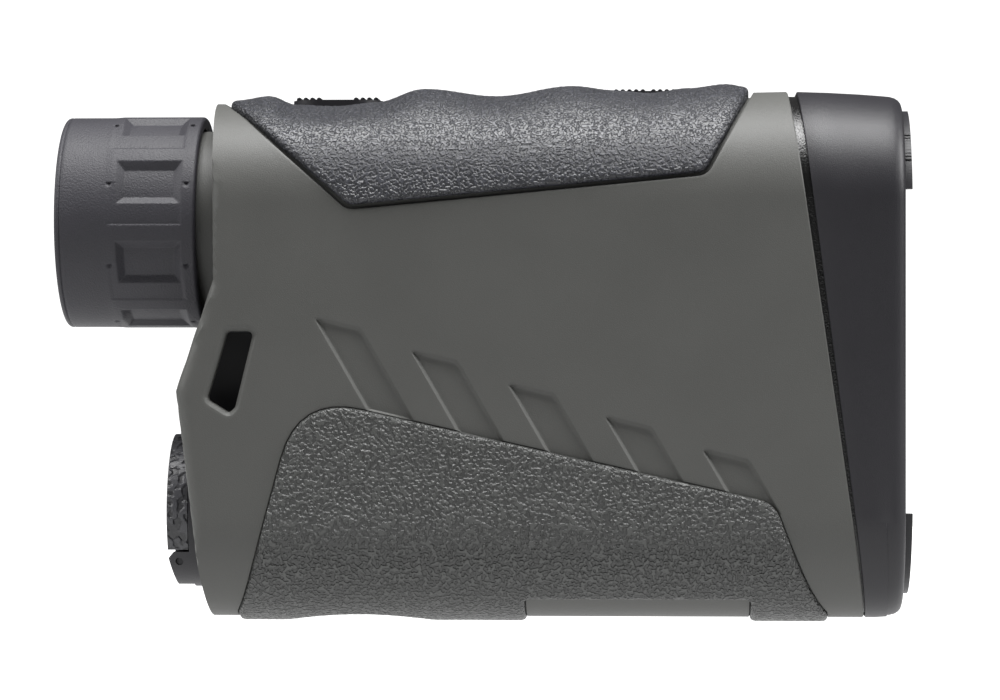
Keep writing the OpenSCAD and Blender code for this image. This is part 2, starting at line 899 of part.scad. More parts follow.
module bail_pin() {
    color([0.75, 0.75, 0.77]) rod_y(pin_r - 0.03, -7.6, 7.6, pin_at);
}

module cap_bail() {
    color([0.12, 0.12, 0.12]) difference() {
        union() {
            intersection() {
                rod_x(cap_r - 0.1, bail_x, cap_out_x - 0.1, battery_z);
                box([-50, -40], [-12, 12], [block_z + 0.3, 27]);
            }
            box([bail_x + 0.2, cap_out_x - 0.15], [-2.9, 2.9], [pin_at[1], 14]);
            rod_y(1.4, -2.9, 2.9, pin_at);
        }
        rod_y(pin_r + 0.02, -20, 20, pin_at);
        // finger scoop
        rod_x(5, -50, -43.2, 18.5);
    }
}

// ---------- what is drawn ----------

right_housing_shell();
left_housing_shell();
shell_screws();
front_bezel();
bezel_gasket();
front_panel();
bezel_screws();
top_grip();
right_grip();
left_grip();
base_pad();
tripod_bush();
eyepiece_tube();
tube_o_ring();
optical_frame();
frame_screws();
objective_cell();
objective_lens();
objective_retainer();
receiver_barrel();
receiver_lens();
receiver_retainer();
detector();
detector_board();
emitter_barrel();
emitter_lens();
laser_diode();
half_penta_prism();
roof_prism();
prism_holder();
display_panel();
main_board();
board_chips();
board_screws();
button_board();
tact_switches();
flex_cable();
rear_button_seal();
front_button_seal();
battery_tube();
tube_contact();
diopter_ring();
eyecup();
ocular_cell();
eye_lens();
field_lens();
ocular_retainer();
rear_button();
rear_plunger();
front_button();
front_plunger();
cap_o_ring();
battery_cap();
cap_contact();
bail_pin();
cap_bail();
battery_cell();
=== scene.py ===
# %% [markdown]
# # A handheld laser rangefinder, dressed around its measured frame
# The frame holds the sizes, the joints and every piece's place. This script
# adds what the frame leaves plain: crisp mouldings, grained rubber, coated
# lenses and finishes with wear in them. Lengths are in millimetres until a
# mesh is made, because that is how such an object is drawn.

# %% Load the frame
import math

import bmesh
import bpy
import numpy as np
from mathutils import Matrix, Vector
from mathutils.geometry import delaunay_2d_cdt


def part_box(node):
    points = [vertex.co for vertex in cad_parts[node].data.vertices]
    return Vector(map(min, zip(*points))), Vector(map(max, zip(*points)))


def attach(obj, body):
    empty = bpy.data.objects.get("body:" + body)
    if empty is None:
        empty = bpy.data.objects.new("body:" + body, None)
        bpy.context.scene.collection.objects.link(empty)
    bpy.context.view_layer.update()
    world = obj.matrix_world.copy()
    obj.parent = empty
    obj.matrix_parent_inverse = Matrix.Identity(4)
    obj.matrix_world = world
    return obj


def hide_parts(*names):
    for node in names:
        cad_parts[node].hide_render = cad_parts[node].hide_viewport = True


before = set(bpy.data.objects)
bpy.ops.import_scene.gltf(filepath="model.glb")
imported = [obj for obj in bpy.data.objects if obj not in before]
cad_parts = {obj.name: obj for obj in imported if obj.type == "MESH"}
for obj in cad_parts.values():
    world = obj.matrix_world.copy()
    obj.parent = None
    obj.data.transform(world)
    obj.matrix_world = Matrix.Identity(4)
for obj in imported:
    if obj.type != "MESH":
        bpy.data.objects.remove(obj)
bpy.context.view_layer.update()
MM = 0.001

# %% [markdown]
# ## The camera
# A product picture is taken from far off with a long lens, so that the
# object's lines stay nearly parallel. The camera is set before anything else,
# because every later choice is judged through it.

# %% Camera
scene = bpy.context.scene
camera_data = bpy.data.cameras.new("camera")
camera_data.sensor_width = 36
camera_data.lens = 138.3
camera_data.clip_start = 0.01
camera = bpy.data.objects.new("camera", camera_data)
scene.collection.objects.link(camera)
camera.location = (0.028, -0.549, 0.0383)
aim = Vector((0.0021, 0, 0.0383)) - camera.location
camera.rotation_euler = aim.to_track_quat("-Z", "Y").to_euler()
scene.camera = camera
print("camera", round(aim.length, 3), "m from the object")

# %% [markdown]
# ## Sizes taken from the frame
# The visible skins are drawn again here, so their driving sizes are read off
# the frame's boxes. A few more, such as edge radii, repeat what the design
# of the housing says. The rear face is drawn a little further forward than in
# the frame, and its upright edges are much smaller.

# %% Sizes


def span(node):
    """A node's lowest and highest corner in millimetres."""
    low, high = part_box(node)
    return np.array(low) / MM, np.array(high) / MM


shell_low, shell_high = span("right_housing_shell")
HALF_W = -shell_low[1]
FLOOR_Z, TOP_Z = shell_low[2], shell_high[2]
TOP_R, BOTTOM_R, WALL = 15.5, 15.0, 2.2
PROUD = span("right_grip")[0][1] * -1 - HALF_W
UPPER_REAR_X, KNEE_Z = -36.9, 48.0
HEEL, FOOT = (-42.2, 32.6), (-38.2, 0.6)
REAR_BULGE = 0.9
REAR_EDGE = [(0.6, 1.4), (15, 1.7), (32, 2.0), (48, 0.9), (80, 0.9)]
REAR_DROP = 1.5
SEAM_TOP, SEAM_FOOT = (42.9, 74.8), (53.6, 0.6)
BEZEL_TOP, BEZEL_FOOT = (44.2, 74.8), (53.8, 0.6)
BEZEL_X = span("front_bezel")[1][0]
LIP_X = span("front_panel")[1][0]
VIEW_Z, BATTERY_Z = (sum(span(node))[2] / 2 for node in ("objective_lens", "battery_cell"))
REAR_BUTTON_X, FRONT_BUTTON_X, TRIPOD_X = (
    sum(span(node))[0] / 2 for node in ("rear_plunger", "front_plunger", "tripod_bush"))
PAD_X = (6.5, 37.3)
PAD_Y = 13.4
print("half width", round(HALF_W, 2), "top", round(TOP_Z, 2), "rubber stands proud", round(PROUD, 2))

# %% [markdown]
# ## A notation for shader maths
# A finish is a formula: a mask times a depth plus a grain. Wrapping a socket
# in a small class lets the formula be written as one, and each operator adds
# its Math node.

# %% Shader notation


class Val:
    """A socket that can be added, multiplied and so on."""

    def __init__(self, mat, socket):
        self.mat, self.socket = mat, socket

    def math(self, op, other=0.0, third=None):
        values = {0: self, 1: other}
        if third is not None:
            values[2] = third
        return self.mat.node("ShaderNodeMath", {"operation": op}, values)

    def __add__(self, other):
        return self.math("ADD", other)

    def __sub__(self, other):
        return self.math("SUBTRACT", other)

    def __mul__(self, other):
        return self.math("MULTIPLY", other)

    def __truediv__(self, other):
        return self.math("DIVIDE", other)

    def __rsub__(self, other):
        return self.mat.node("ShaderNodeMath", {"operation": "SUBTRACT"}, {0: other, 1: self})

    __radd__ = __add__
    __rmul__ = __mul__

    def ramp(self, low, high, out_low=0.0, out_high=1.0):
        """The value spread from low..high to out_low..out_high, clamped and eased."""
        return self.mat.node("ShaderNodeMapRange", {"interpolation_type": "SMOOTHSTEP"},
                             {0: self, 1: low, 2: high, 3: out_low, 4: out_high})


class Finish:
    """A material and the nodes that make it."""

    def __init__(self, name, **principled):
        self.data = bpy.data.materials.new(name)
        self.data.use_nodes = True
        self.tree = self.data.node_tree
        self.tree.nodes.clear()
        self.out = self.tree.nodes.new("ShaderNodeOutputMaterial")
        self.shader = self.tree.nodes.new("ShaderNodeBsdfPrincipled")
        self.tree.links.new(self.shader.outputs[0], self.out.inputs[0])
        self.put(self.shader, principled)

    def put(self, node, values):
        """Sets or links a node's input sockets."""
        for key, value in values.items():
            socket = node.inputs[key.replace("_", " ") if isinstance(key, str) else key]
            if isinstance(value, Val):
                self.tree.links.new(value.socket, socket)
            else:
                socket.default_value = value

    def node(self, kind, settings=None, values=None, out=0):
        """A node of any kind: its settings first, then its sockets."""
        made = self.tree.nodes.new(kind)
        for key, value in (settings or {}).items():
            setattr(made, key, value)
        self.put(made, values or {})
        return Val(self, made.outputs[out])

    def place(self):
        """Where on the object a point lies, in metres."""
        return self.node("ShaderNodeTexCoord", out=3)

    def noise(self, size_mm, detail=2.0, rough=0.5):
        """Smooth noise from 0 to 1 with features of about this size."""
        return self.node("ShaderNodeTexNoise", None, {"Vector": self.place(), "Scale": 1 / (size_mm * MM),
                                                      "Detail": detail, "Roughness": rough})

    def cells(self, size_mm, feature="F1", spread=1.0):
        """Distance in a pattern of cells of about this size."""
        return self.node("ShaderNodeTexVoronoi", {"feature": feature},
                         {"Vector": self.place(), "Scale": 1 / (size_mm * MM), "Randomness": spread})

    def colours(self, factor, low, high):
        """A colour between two, by a value from 0 to 1."""
        made = self.tree.nodes.new("ShaderNodeMix")
        made.data_type = "RGBA"
        self.put(made, {0: factor})
        for index, colour in ((6, low), (7, high)):
            if isinstance(colour, Val):
                self.tree.links.new(colour.socket, made.inputs[index])
            else:
                made.inputs[index].default_value = (*colour, 1)
        return Val(self, made.outputs[2])

    def bump(self, height_mm):
        """A bump from a height in millimetres."""
        return self.node("ShaderNodeBump", None, {"Height": height_mm * MM, "Distance": 1.0, "Strength": 1.0})

    def set(self, **principled):
        self.put(self.shader, principled)
        return self


print("shader notation ready")

# %% [markdown]
# ## Meshes from numbers
# Every piece ends as a plain mesh at the origin whose points are already in
# place. One helper makes it, merges doubles, turns its faces outwards and
# marks it smooth with sharp edges kept.

# %% Mesh helper
SMOOTH_ANGLE = math.radians(38)
MERGE_M = 1e-6


def make_mesh(name, points, faces, finish, outward=True):
    """A mesh object from points in millimetres."""
    mesh = bpy.data.meshes.new(name)
    mesh.from_pydata((np.asarray(points) * MM).tolist(), [], [list(map(int, f)) for f in faces])
    work = bmesh.new()
    work.from_mesh(mesh)
    bmesh.ops.remove_doubles(work, verts=work.verts, dist=MERGE_M)
    bmesh.ops.dissolve_degenerate(work, edges=work.edges, dist=1e-8)
    if outward:
        bmesh.ops.recalc_face_normals(work, faces=work.faces)
    for face in work.faces:
        face.smooth = True
    for edge in work.edges:
        if len(edge.link_faces) == 2:
            edge.smooth = edge.calc_face_angle(0) < SMOOTH_ANGLE
    work.to_mesh(mesh)
    work.free()
    mesh.materials.append(finish.data)
    piece = bpy.data.objects.new(name, mesh)
    scene.collection.objects.link(piece)
    return piece


def applied(piece):
    """The same piece with its modifiers turned into plain mesh."""
    seen = piece.evaluated_get(bpy.context.evaluated_depsgraph_get())
    mesh = bpy.data.meshes.new_from_object(seen)
    piece.modifiers.clear()
    piece.data = mesh
    return piece


def dress(piece, body, slot, *nodes):
    """Says what a piece rides on and what it stands for; its finish's slot is not used."""
    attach(piece, body)
    if nodes:
        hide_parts(*nodes)
    print(piece.name, len(piece.data.polygons), "faces on", body)
    return piece


print("mesh helpers ready")

# %% [markdown]
# ## The housing as an unrolled skin
# The housing is a tube with a rounded front view, cut at a slant at the front
# and closed by a face with rounded edges at the rear. Sculpting stripes, slots
# and grip beds on it by hand would never be crisp. So the skin is unrolled: U
# runs along the body and round onto the rear face, S runs round the tube from
# the middle of the top. Outlines are drawn flat in U and S, and a lift
# function wraps every point back onto the body.

# %% Unrolled skin
TOP_FLAT = HALF_W - TOP_R
BOTTOM_FLAT = HALF_W - BOTTOM_R
ARC_TOP = TOP_R * math.pi / 2
ARC_BOTTOM = BOTTOM_R * math.pi / 2
SIDE_TOP_Z = TOP_Z - TOP_R
SIDE_LOW_Z = FLOOR_Z + BOTTOM_R
S_SIDE = TOP_FLAT + ARC_TOP
S_LOW = S_SIDE + SIDE_TOP_Z - SIDE_LOW_Z
S_FLOOR = S_LOW + ARC_BOTTOM
S_END = S_FLOOR + BOTTOM_FLAT


def s_of_z(z):
    """Distance round the skin from the middle of the top to a height on the side."""
    z = np.asarray(z, dtype=float)
    top = TOP_FLAT + TOP_R * np.arccos(np.clip((z - SIDE_TOP_Z) / TOP_R, 0, 1))
    low = S_LOW + BOTTOM_R * np.arcsin(np.clip((SIDE_LOW_Z - z) / BOTTOM_R, 0, 1))
    return np.where(z > SIDE_TOP_Z, top, np.where(z < SIDE_LOW_Z, low, S_SIDE + SIDE_TOP_Z - z))


def round_view(s, offset):
    """Half width and height of the front view at S, raised by an offset."""
    s = np.abs(s)
    a = np.clip((s - TOP_FLAT) / TOP_R, 0, math.pi / 2)
    b = np.clip((s - S_LOW) / BOTTOM_R, 0, math.pi / 2)
    y = np.minimum(s, TOP_FLAT) + (TOP_R + offset) * np.sin(a)
    z = SIDE_TOP_Z + (TOP_R + offset) * np.cos(a)
    below = s > S_SIDE
    side = np.clip(s - S_SIDE, 0, SIDE_TOP_Z - SIDE_LOW_Z)
    y_low = BOTTOM_FLAT + (BOTTOM_R + offset) * np.cos(b) - np.clip(s - S_FLOOR, 0, None)
    z_low = SIDE_LOW_Z - (BOTTOM_R + offset) * np.sin(b)
    y = np.where(s > S_LOW, y_low, np.where(below, HALF_W + offset, y))
    z = np.where(s > S_LOW, z_low, np.where(below, SIDE_TOP_Z - side, z))
    return y, z


def rear_x(z):
    """The rear face in the side view."""
    return np.interp(z, [FOOT[1], HEEL[1], KNEE_Z, 99], [FOOT[0], HEEL[0], UPPER_REAR_X, UPPER_REAR_X])


def rear_edge(z):
    """Radius of the upright rear edge, larger at the heel."""
    return np.interp(z, *np.array(REAR_EDGE).T)


def seam_x(z):
    return np.interp(z, [SEAM_FOOT[1], SEAM_TOP[1]], [SEAM_FOOT[0], SEAM_TOP[0]])


def bezel_seam_x(z):
    return np.interp(z, [BEZEL_FOOT[1], BEZEL_TOP[1]], [BEZEL_FOOT[0], BEZEL_TOP[0]])


def u_of_x(x, z):
    """Unrolled place of a point seen from the side."""
    r = rear_edge(z)
    back = np.clip((rear_x(z) + r - x) / r, -1, 1)
    return np.where(x > rear_x(z) + r, x, rear_x(z) + r - r * np.arcsin(np.maximum(back, 0)))


def u_of_y(y, z):
    """Unrolled place of a point seen from behind."""
    r = rear_edge(z)
    flat = HALF_W - r
    turn = np.arccos(np.clip((y - flat) / r, 0, 1))
    face = rear_x(z) + r * (1 - math.pi / 2)
    return np.where(y < flat, face - (flat - y), rear_x(z) + r - r * turn)


def lift(u, s, offset, side=-1):
    """Wraps unrolled points back onto the body."""
    u, s, offset = (np.broadcast_to(np.asarray(v, dtype=float), np.shape(u)) for v in (u, s, offset))
    y, z = round_view(s, offset)
    level = round_view(s, 0 * offset)[1]
    back, r = rear_x(level), rear_edge(level)
    turn = np.clip((back + r - u) / r, 0, math.pi / 2)
    over = np.clip(back + r * (1 - math.pi / 2) - u, 0, None)
    reach = np.maximum(r + offset, 0.05)
    x = np.where(u > back + r, u, back + r - reach * np.sin(turn))
    limit = HALF_W - r + reach * np.cos(turn) - over
    y = np.minimum(y, np.maximum(limit, 0))
    bulge = REAR_BULGE * (1 - (y / HALF_W) ** 2) * np.clip((level - KNEE_Z) / 12, 0, 1)
    x = x - bulge * np.clip(1 - (x - back) / 4, 0, 1)
    rise = np.clip((z - 45) / (TOP_Z - 45), 0, 1)
    along = np.clip((SEAM_TOP[0] - x) / (SEAM_TOP[0] - UPPER_REAR_X), 0, 1)
    z = z - REAR_DROP * along * rise ** 2
    return np.stack([x, side * np.sign(np.where(s == 0, 1, s)) * y, z], axis=-1)


print("skin length round one side", round(S_END, 1), "mm")

# %% [markdown]
# ## Outlines and their distance
# A moulded edge is a small profile that follows an outline. With each point's
# distance from the outline known, that profile is one interpolation, and the
# same distance places the extra rings of points that keep the edge crisp.

# %% Outline helpers


def rounded(corners, radii, step=0.45):
    """A closed outline with round corners, sampled evenly."""
    corners = [np.array(c, dtype=float) for c in corners]
    radii = radii if isinstance(radii, (list, tuple)) else [radii] * len(corners)
    path = []
    for i, (corner, radius) in enumerate(zip(corners, radii)):
        before, after = corners[i - 1], corners[(i + 1) % len(corners)]
        a, b = before - corner, after - corner
        la, lb = np.linalg.norm(a), np.linalg.norm(b)
        a, b = a / la, b / lb
        half = math.acos(np.clip(a @ b, -1, 1)) / 2
        reach = min(radius / math.tan(half), la * 0.49, lb * 0.49)
        for t in np.linspace(0, 1, 9):
            start, end = corner + a * reach, corner + b * reach
            path.append((1 - t) ** 2 * start + 2 * t * (1 - t) * corner + t * t * end)
    return resampled(np.array(path), step)


def resampled(path, step):
    """A closed path with points at an even spacing, its sharp bends kept."""
    closed = np.vstack([path, path[:1]])
    lengths = np.linalg.norm(np.diff(closed, axis=0), axis=1)
    out = []
    for start, end, length in zip(closed[:-1], closed[1:], lengths):
        count = max(1, int(round(length / step)))
        out.extend(start + (end - start) * k / count for k in range(count))
    out = np.array(out)
    keep = np.linalg.norm(out - np.roll(out, 1, axis=0), axis=1) > step * 0.2
    return out[keep]


def evened(path, step):
    """A closed path at an even spacing, whatever the spacing it came with."""
    closed = np.vstack([path, path[:1]])
    run = np.concatenate([[0], np.cumsum(np.hypot(*np.diff(closed, axis=0).T))])
    at = np.linspace(0, run[-1], int(run[-1] / step), endpoint=False)
    return np.stack([np.interp(at, run, closed[:, 0]), np.interp(at, run, closed[:, 1])], axis=1)


def is_inside(points, loop):
    """Which points lie inside a closed outline."""
    x, y = points[:, 0], points[:, 1]
    count = np.zeros(len(points), dtype=bool)
    for (x0, y0), (x1, y1) in zip(loop, np.roll(loop, -1, axis=0)):
        if y0 != y1:
            crosses = (y0 > y) != (y1 > y)
            count ^= crosses & (x < (x1 - x0) * (y - y0) / (y1 - y0) + x0)
    return count


def distance(points, loop):
    """Distance from a closed outline: negative inside it."""
    best = np.full(len(points), 1e9)
    for a, b in zip(loop, np.roll(loop, -1, axis=0)):
        d = b - a
        t = np.clip(((points - a) @ d) / (d @ d), 0, 1)
        gap = points - a - t[:, None] * d
        best = np.minimum(best, np.einsum("ij,ij->i", gap, gap))
    best = np.sqrt(best)
    return np.where(is_inside(points, loop), -best, best)


def shifted(loop, by):
    """The outline moved outwards by a distance."""
    ahead, behind = np.roll(loop, -1, axis=0), np.roll(loop, 1, axis=0)
    along = ahead - behind
    along /= np.linalg.norm(along, axis=1)[:, None]
    area = np.sum(loop[:, 0] * ahead[:, 1] - ahead[:, 0] * loop[:, 1])
    normal = np.stack([along[:, 1], -along[:, 0]], axis=1) * (1 if area > 0 else -1)
    return loop + normal * by


def side_loop(corners, radii, step=0.45):
    """An outline drawn in the side view, laid on the unrolled skin."""
    loop = rounded(corners, radii, step)
    return np.stack([u_of_x(loop[:, 0], loop[:, 1]), s_of_z(loop[:, 1])], axis=1)


class Feature:
    """An outline and the profile across its edge: pairs of distance and height."""

    def __init__(self, loop, profile):
        self.loop = loop
        self.at = [p[0] for p in profile]
        self.height = [p[1] for p in profile]

    def heights(self, points):
        near = np.zeros(len(points))
        reach = max(abs(self.at[0]), abs(self.at[-1])) + 0.1
        low, high = self.loop.min(0) - reach, self.loop.max(0) + reach
        pick = np.all((points > low) & (points < high), axis=1)
        if pick.any():
            near[pick] = np.interp(distance(points[pick], self.loop), self.at, self.height)
        return near


print("outline helpers ready")

# %% [markdown]
# ## One patch of skin
# The flat outline, its holes and the rings beside every edge go into a
# constrained triangulation, which keeps each ring as a row of edges. Lifting
# its points gives a surface that is smooth where the body is smooth and sharp
# only where an outline says so. The same points lifted less high make the inner
# face, and the open edges are joined, so each patch is a closed moulding.

# %% Patch builder


def triangulated(outline, holes, rings, loose):
    """Triangles inside an outline and outside its holes."""
    points, edges = [], []
    for loop, closed in [(outline, True)] + [(h, True) for h in holes] + rings:
        start, count = len(points), len(loop)
        points.extend(map(tuple, loop))
        edges.extend((start + i, start + (i + 1) % count) for i in range(count if closed else count - 1))
    points.extend(map(tuple, loose))
    flat, _, faces, *_ = delaunay_2d_cdt([Vector(p) for p in points], edges, [], 0, 1e-5)
    flat = np.array([tuple(p) for p in flat])
    faces = np.array([f for f in faces if len(f) == 3])
    middle = flat[faces].mean(axis=1)
    keep = is_inside(middle, outline)
    for hole in holes:
        keep &= ~is_inside(middle, hole)
    return flat, faces[keep]


def runs(loop, keep):
    """The stretches of a loop whose points are kept."""
    if keep.all():
        return [(loop, True)]
    if not keep.any():
        return []
    start = int(np.argmin(keep))
    loop, keep = np.roll(loop, -start, axis=0), np.roll(keep, -start)
    parts, current = [], []
    for point, kept in zip(loop, keep):
        if kept:
            current.append(point)
        elif current:
            parts.append((np.array(current), False))
            current = []
    if current:
        parts.append((np.array(current), False))
    return [p for p in parts if len(p[0]) > 1]


def skin(name, outline, holes=(), features=(), edge=((0, -0.12), (0.15, 0)), hole_edge=None, spacing=1.2,
         side=-1, thickness=WALL, relief=None, reshape=None, finish=None, extra=None):
    """A moulded patch of skin, lifted onto the body and given a thickness."""
    hole_edge = hole_edge or edge
    rings = []
    for loop, profile, inner in [(outline, edge, -1)] + [(h, hole_edge, 1) for h in holes]:
        for at, _ in profile[1:]:
            moved = shifted(loop, inner * at)
            gap = np.abs(distance(moved, loop))
            good = gap > at * 0.9
            good &= is_inside(moved, outline)
            rings += runs(moved, good)
    for feature in features:
        for at in feature.at:
            moved = shifted(feature.loop, at)
            keep = is_inside(moved, outline) & (distance(moved, outline) < -0.2)
            for hole in holes:
                keep &= distance(moved, hole) > 0.2
            rings += runs(moved, keep)
    low, high = outline.min(0), outline.max(0)
    rows = np.arange(low[1], high[1], spacing * 0.866)
    columns = np.arange(low[0], high[0], spacing)
    grid = np.array([(x + spacing / 2 * (j % 2), y) for j, y in enumerate(rows) for x in columns])
    clear = distance(grid, outline) < -max(0.5 * spacing, edge[-1][0] + 0.2 * spacing)
    for hole in holes:
        clear &= distance(grid, hole) > max(0.5 * spacing, hole_edge[-1][0] + 0.2 * spacing)
    grid = grid[clear]
    for feature in features:
        gap = distance(grid, feature.loop)
        grid = grid[(gap < feature.at[0] - 0.4 * spacing) | (gap > feature.at[-1] + 0.4 * spacing)]
    flat, faces = triangulated(outline, holes, rings, grid)
    height = np.interp(-distance(flat, outline), *np.array(edge, dtype=float).T)
    for hole in holes:
        height = np.minimum(height, np.interp(distance(flat, hole), *np.array(hole_edge, dtype=float).T))
    for feature in features:
        height = np.minimum(height, feature.heights(flat))
    if relief is not None:
        height = height + relief(flat) * np.clip(1 + height * 2, 0, 1)
    if extra is not None:
        height = height + extra(flat)
    outer = lift(flat[:, 0], flat[:, 1], height, side)
    inner = lift(flat[:, 0], flat[:, 1], np.minimum(height, 0) * 0.4 - thickness, side)
    if reshape is not None:
        outer, inner = reshape(outer, 0), reshape(inner, thickness)
    faces = faces[:, ::-1] if side < 0 else faces
    count = len(flat)
    ways = np.vstack([faces[:, [0, 1]], faces[:, [1, 2]], faces[:, [2, 0]]])
    known = set(map(tuple, ways.tolist()))
    rim_faces = [(b, a, a + count, b + count) for a, b in ways.tolist() if (b, a) not in known]
    all_faces = faces.tolist() + (faces[:, ::-1] + count).tolist() + rim_faces
    return make_mesh(name, np.vstack([outer, inner]), all_faces, finish, outward=False)


def cell_heights(points, size, seed, sharp=0.5, stretch=(1.0, 1.0)):
    """Rounded cells with valleys between them: 0 in a valley, 1 on a cell."""
    scaled = points / size / np.array(stretch)
    home = np.floor(scaled).astype(int)
    nearest = np.full(len(points), 9.0)
    second = np.full(len(points), 9.0)
    for dx in (-1, 0, 1):
        for dy in (-1, 0, 1):
            cell = home + (dx, dy)
            key = cell[:, 0] * 374761393 + cell[:, 1] * 668265263 + seed * 974711
            key = (key ^ (key >> 13)) * 1274126177 & 0x7FFFFFFF
            jitter = np.stack([(key & 1023) / 1023, (key >> 10 & 1023) / 1023], axis=1)
            gap = np.linalg.norm(cell + 0.15 + 0.7 * jitter - scaled, axis=1)
            second = np.minimum(second, np.maximum(nearest, gap))
            nearest = np.minimum(nearest, gap)
    t = np.clip((second - nearest) / sharp, 0, 1)
    return t * t * (3 - 2 * t)


print("patch builder ready")

# %% [markdown]
# ## Moulded plastic
# The housing is glass-filled nylon from a spark-eroded mould: an olive grey
# with a very fine, even roughness that scatters the light. Handling polishes
# the raised places a little, so the roughness wanders too.

# %% Plastics
GRAIN_MM = 0.16


def moulded_plastic(name, colour, rough=0.5, grain_depth=0.035, sheen=0.35):
    """Injection-moulded plastic with a fine spark-eroded texture."""
    mat = Finish(name)
    grain = mat.noise(GRAIN_MM, 3, 0.6)
    patches = mat.noise(14, 2)
    darker = tuple(c * 0.72 for c in colour)
    lighter = tuple(min(1, c * 1.25) for c in colour)
    tint = mat.colours(grain * 0.6 + patches * 0.4, darker, lighter)
    mat.set(Base_Color=tint, Roughness=patches * 0.1 + grain * 0.08 + (rough - 0.09),
            Normal=mat.bump(grain * grain_depth), Specular_IOR_Level=sheen)
    return mat


HOUSING = moulded_plastic("housing_olive", (0.054, 0.0545, 0.051), rough=0.54)
BEZEL = moulded_plastic("bezel_black", (0.009, 0.0085, 0.011), rough=0.47, grain_depth=0.03)
INNER = moulded_plastic("panel_black", (0.009, 0.009, 0.01), rough=0.5, grain_depth=0.01)
print("plastics:", HOUSING.data.name, BEZEL.data.name, INNER.data.name)

# %% [markdown]
# ## Rubber
# Each grip has a grain of its own: fine leather on top, coarser pebbles below.
# Noise cut off at half height leaves short winding pads with steep sides, as
# an etched mould does. The same height drives the bump and the colour, so the
# valleys carry painted shade and the tops a painted highlight.

# %% Rubbers


def grip_rubber(name, valley, top, cell_mm, depth, rough):
    """Soft rubber moulded with irregular pads, with painted shade in the valleys and a painted highlight on
    the tops.
    """
    mat = Finish(name)
    dust = mat.noise(9, 3)
    pads = mat.noise(cell_mm, 0.4, 0.5).ramp(0.4, 0.6)
    crumbs = mat.noise(cell_mm * 0.45, 1)
    height = pads * 0.8 + crumbs * 0.2
    # painted light: the colour follows the pads' height, so valleys get painted shade and tops a painted
    # highlight; the dust share is random tone
    tint = mat.colours(height * 0.7 + dust * 0.3, valley, top)
    mat.set(Base_Color=tint, Roughness=dust * 0.12 + (rough - 0.06), Normal=mat.bump(height * depth),
            Specular_IOR_Level=0.45)
    return mat


# the first colour is the painted shade in the valleys, the second the painted highlight on the pad tops
LEATHER = grip_rubber("grip_leather_grain", (0.009, 0.0095, 0.0115), (0.028, 0.029, 0.036), 0.4, 0.28, 0.42)
PEBBLE = grip_rubber("grip_pebble_grain", (0.018, 0.0185, 0.018), (0.05, 0.0515, 0.049), 0.47, 0.42, 0.42)


def smooth_rubber(name, colour, rough=0.5):
    """Smooth moulded rubber with a soft bloom."""
    mat = Finish(name)
    bloom = mat.noise(6, 3)
    grain = mat.noise(0.25, 2)
    tint = mat.colours(bloom * 0.5 + grain * 0.5, colour, tuple(c * 1.7 + 0.003 for c in colour))
    mat.set(Base_Color=tint, Roughness=bloom * 0.12 + (rough - 0.06), Normal=mat.bump(grain * 0.07),
            Specular_IOR_Level=0.35)
    return mat


EYECUP = smooth_rubber("eyecup_moulding", (0.013, 0.0125, 0.016), 0.58)
SEAL = smooth_rubber("seal_moulding", (0.003, 0.003, 0.003), 0.25)
print("rubbers:", LEATHER.data.name, PEBBLE.data.name, EYECUP.data.name)

# %% [markdown]
# ## The two housing halves
# The halves meet in the middle plane, so each is one patch from the middle of
# the top, round the side, to the middle of the floor, and from the seam with
# the bezel round onto the rear face. Slanted stripes, the beds of the grips and
# the seat of the base pad are profiles on it. Slots, bays and button openings
# are true holes.

# %% Outlines on the housing
UPPER_GRIP = [(-35.4, TOP_Z - 0.01), (-18.0, 58.6), (31.2, 63.1), (37.5, TOP_Z - 0.01)]
LOWER_GRIP = [(-34.9, -1.0), (-24.95, 32.0), (40.8, 17.25), (49.3, -1.0)]
STRIPE_PITCH = (13.4, -4.53)
STRIPE_START = (-23.0, 43.0)
STRIPE_TOP = (6.8, -1.6)
STRIPE_RUN = 15.2


def upper_grip_loop(grow=0.0):
    """Outline of the upper grip over both sides, straight as seen from the side."""
    path = rounded(UPPER_GRIP, [0.01, 1.8, 1.8, 0.01], 0.03)
    start = int(np.argmin(np.hypot(*(path - UPPER_GRIP[0]).T)))
    path = np.roll(path, -start, axis=0)
    right = path[path[:, 1] < TOP_Z - 0.02]
    right = np.stack([right[:, 0], s_of_z(right[:, 1])], axis=1)
    loop = evened(np.vstack([right, right[::-1] * (1, -1)]), 0.35)
    return shifted(loop, grow) if grow else loop


def lower_grip_loop(grow=0.0, end=S_END - 0.12):
    """Outline of a side grip, down to the middle of the floor."""
    top = [(x, float(s_of_z(max(z, FLOOR_Z)))) for x, z in LOWER_GRIP[1:3]]
    left = [(-34.7, end), (-34.3, float(s_of_z(1.6)))]
    right = [(48.3, float(s_of_z(1.6))), (48.9, end)]
    pad_s = S_LOW + BOTTOM_R * math.acos((PAD_Y + 0.3 - BOTTOM_FLAT) / BOTTOM_R)
    near, far = PAD_X[0] - 0.35, PAD_X[1] + 0.35
    notch = [(far, end), (far, pad_s), (near, pad_s), (near, end)]
    corners = left + top + right + notch
    loop = rounded(corners, [0.6, 8, 9.5, 4.2, 6, 0.6, 0.6, 1.2, 1.2, 0.6], 0.4)
    return shifted(loop, grow) if grow else loop


def stripe_loop(i):
    """One slanted stripe, its long edges falling at sixty degrees to the grip."""
    run = STRIPE_RUN - 1.5 * i
    x, z = STRIPE_START[0] + i * STRIPE_PITCH[0], STRIPE_START[1] + i * STRIPE_PITCH[1]
    dx, dz = run * math.cos(math.radians(60)), -run * math.sin(math.radians(60))
    corners = [(x, z), (x + STRIPE_TOP[0], z + STRIPE_TOP[1]),
               (x + STRIPE_TOP[0] + dx, z + STRIPE_TOP[1] + dz), (x + dx, z + dz)]
    return side_loop(corners, [0.5, 0.5, 0.3, 0.3], 0.4)


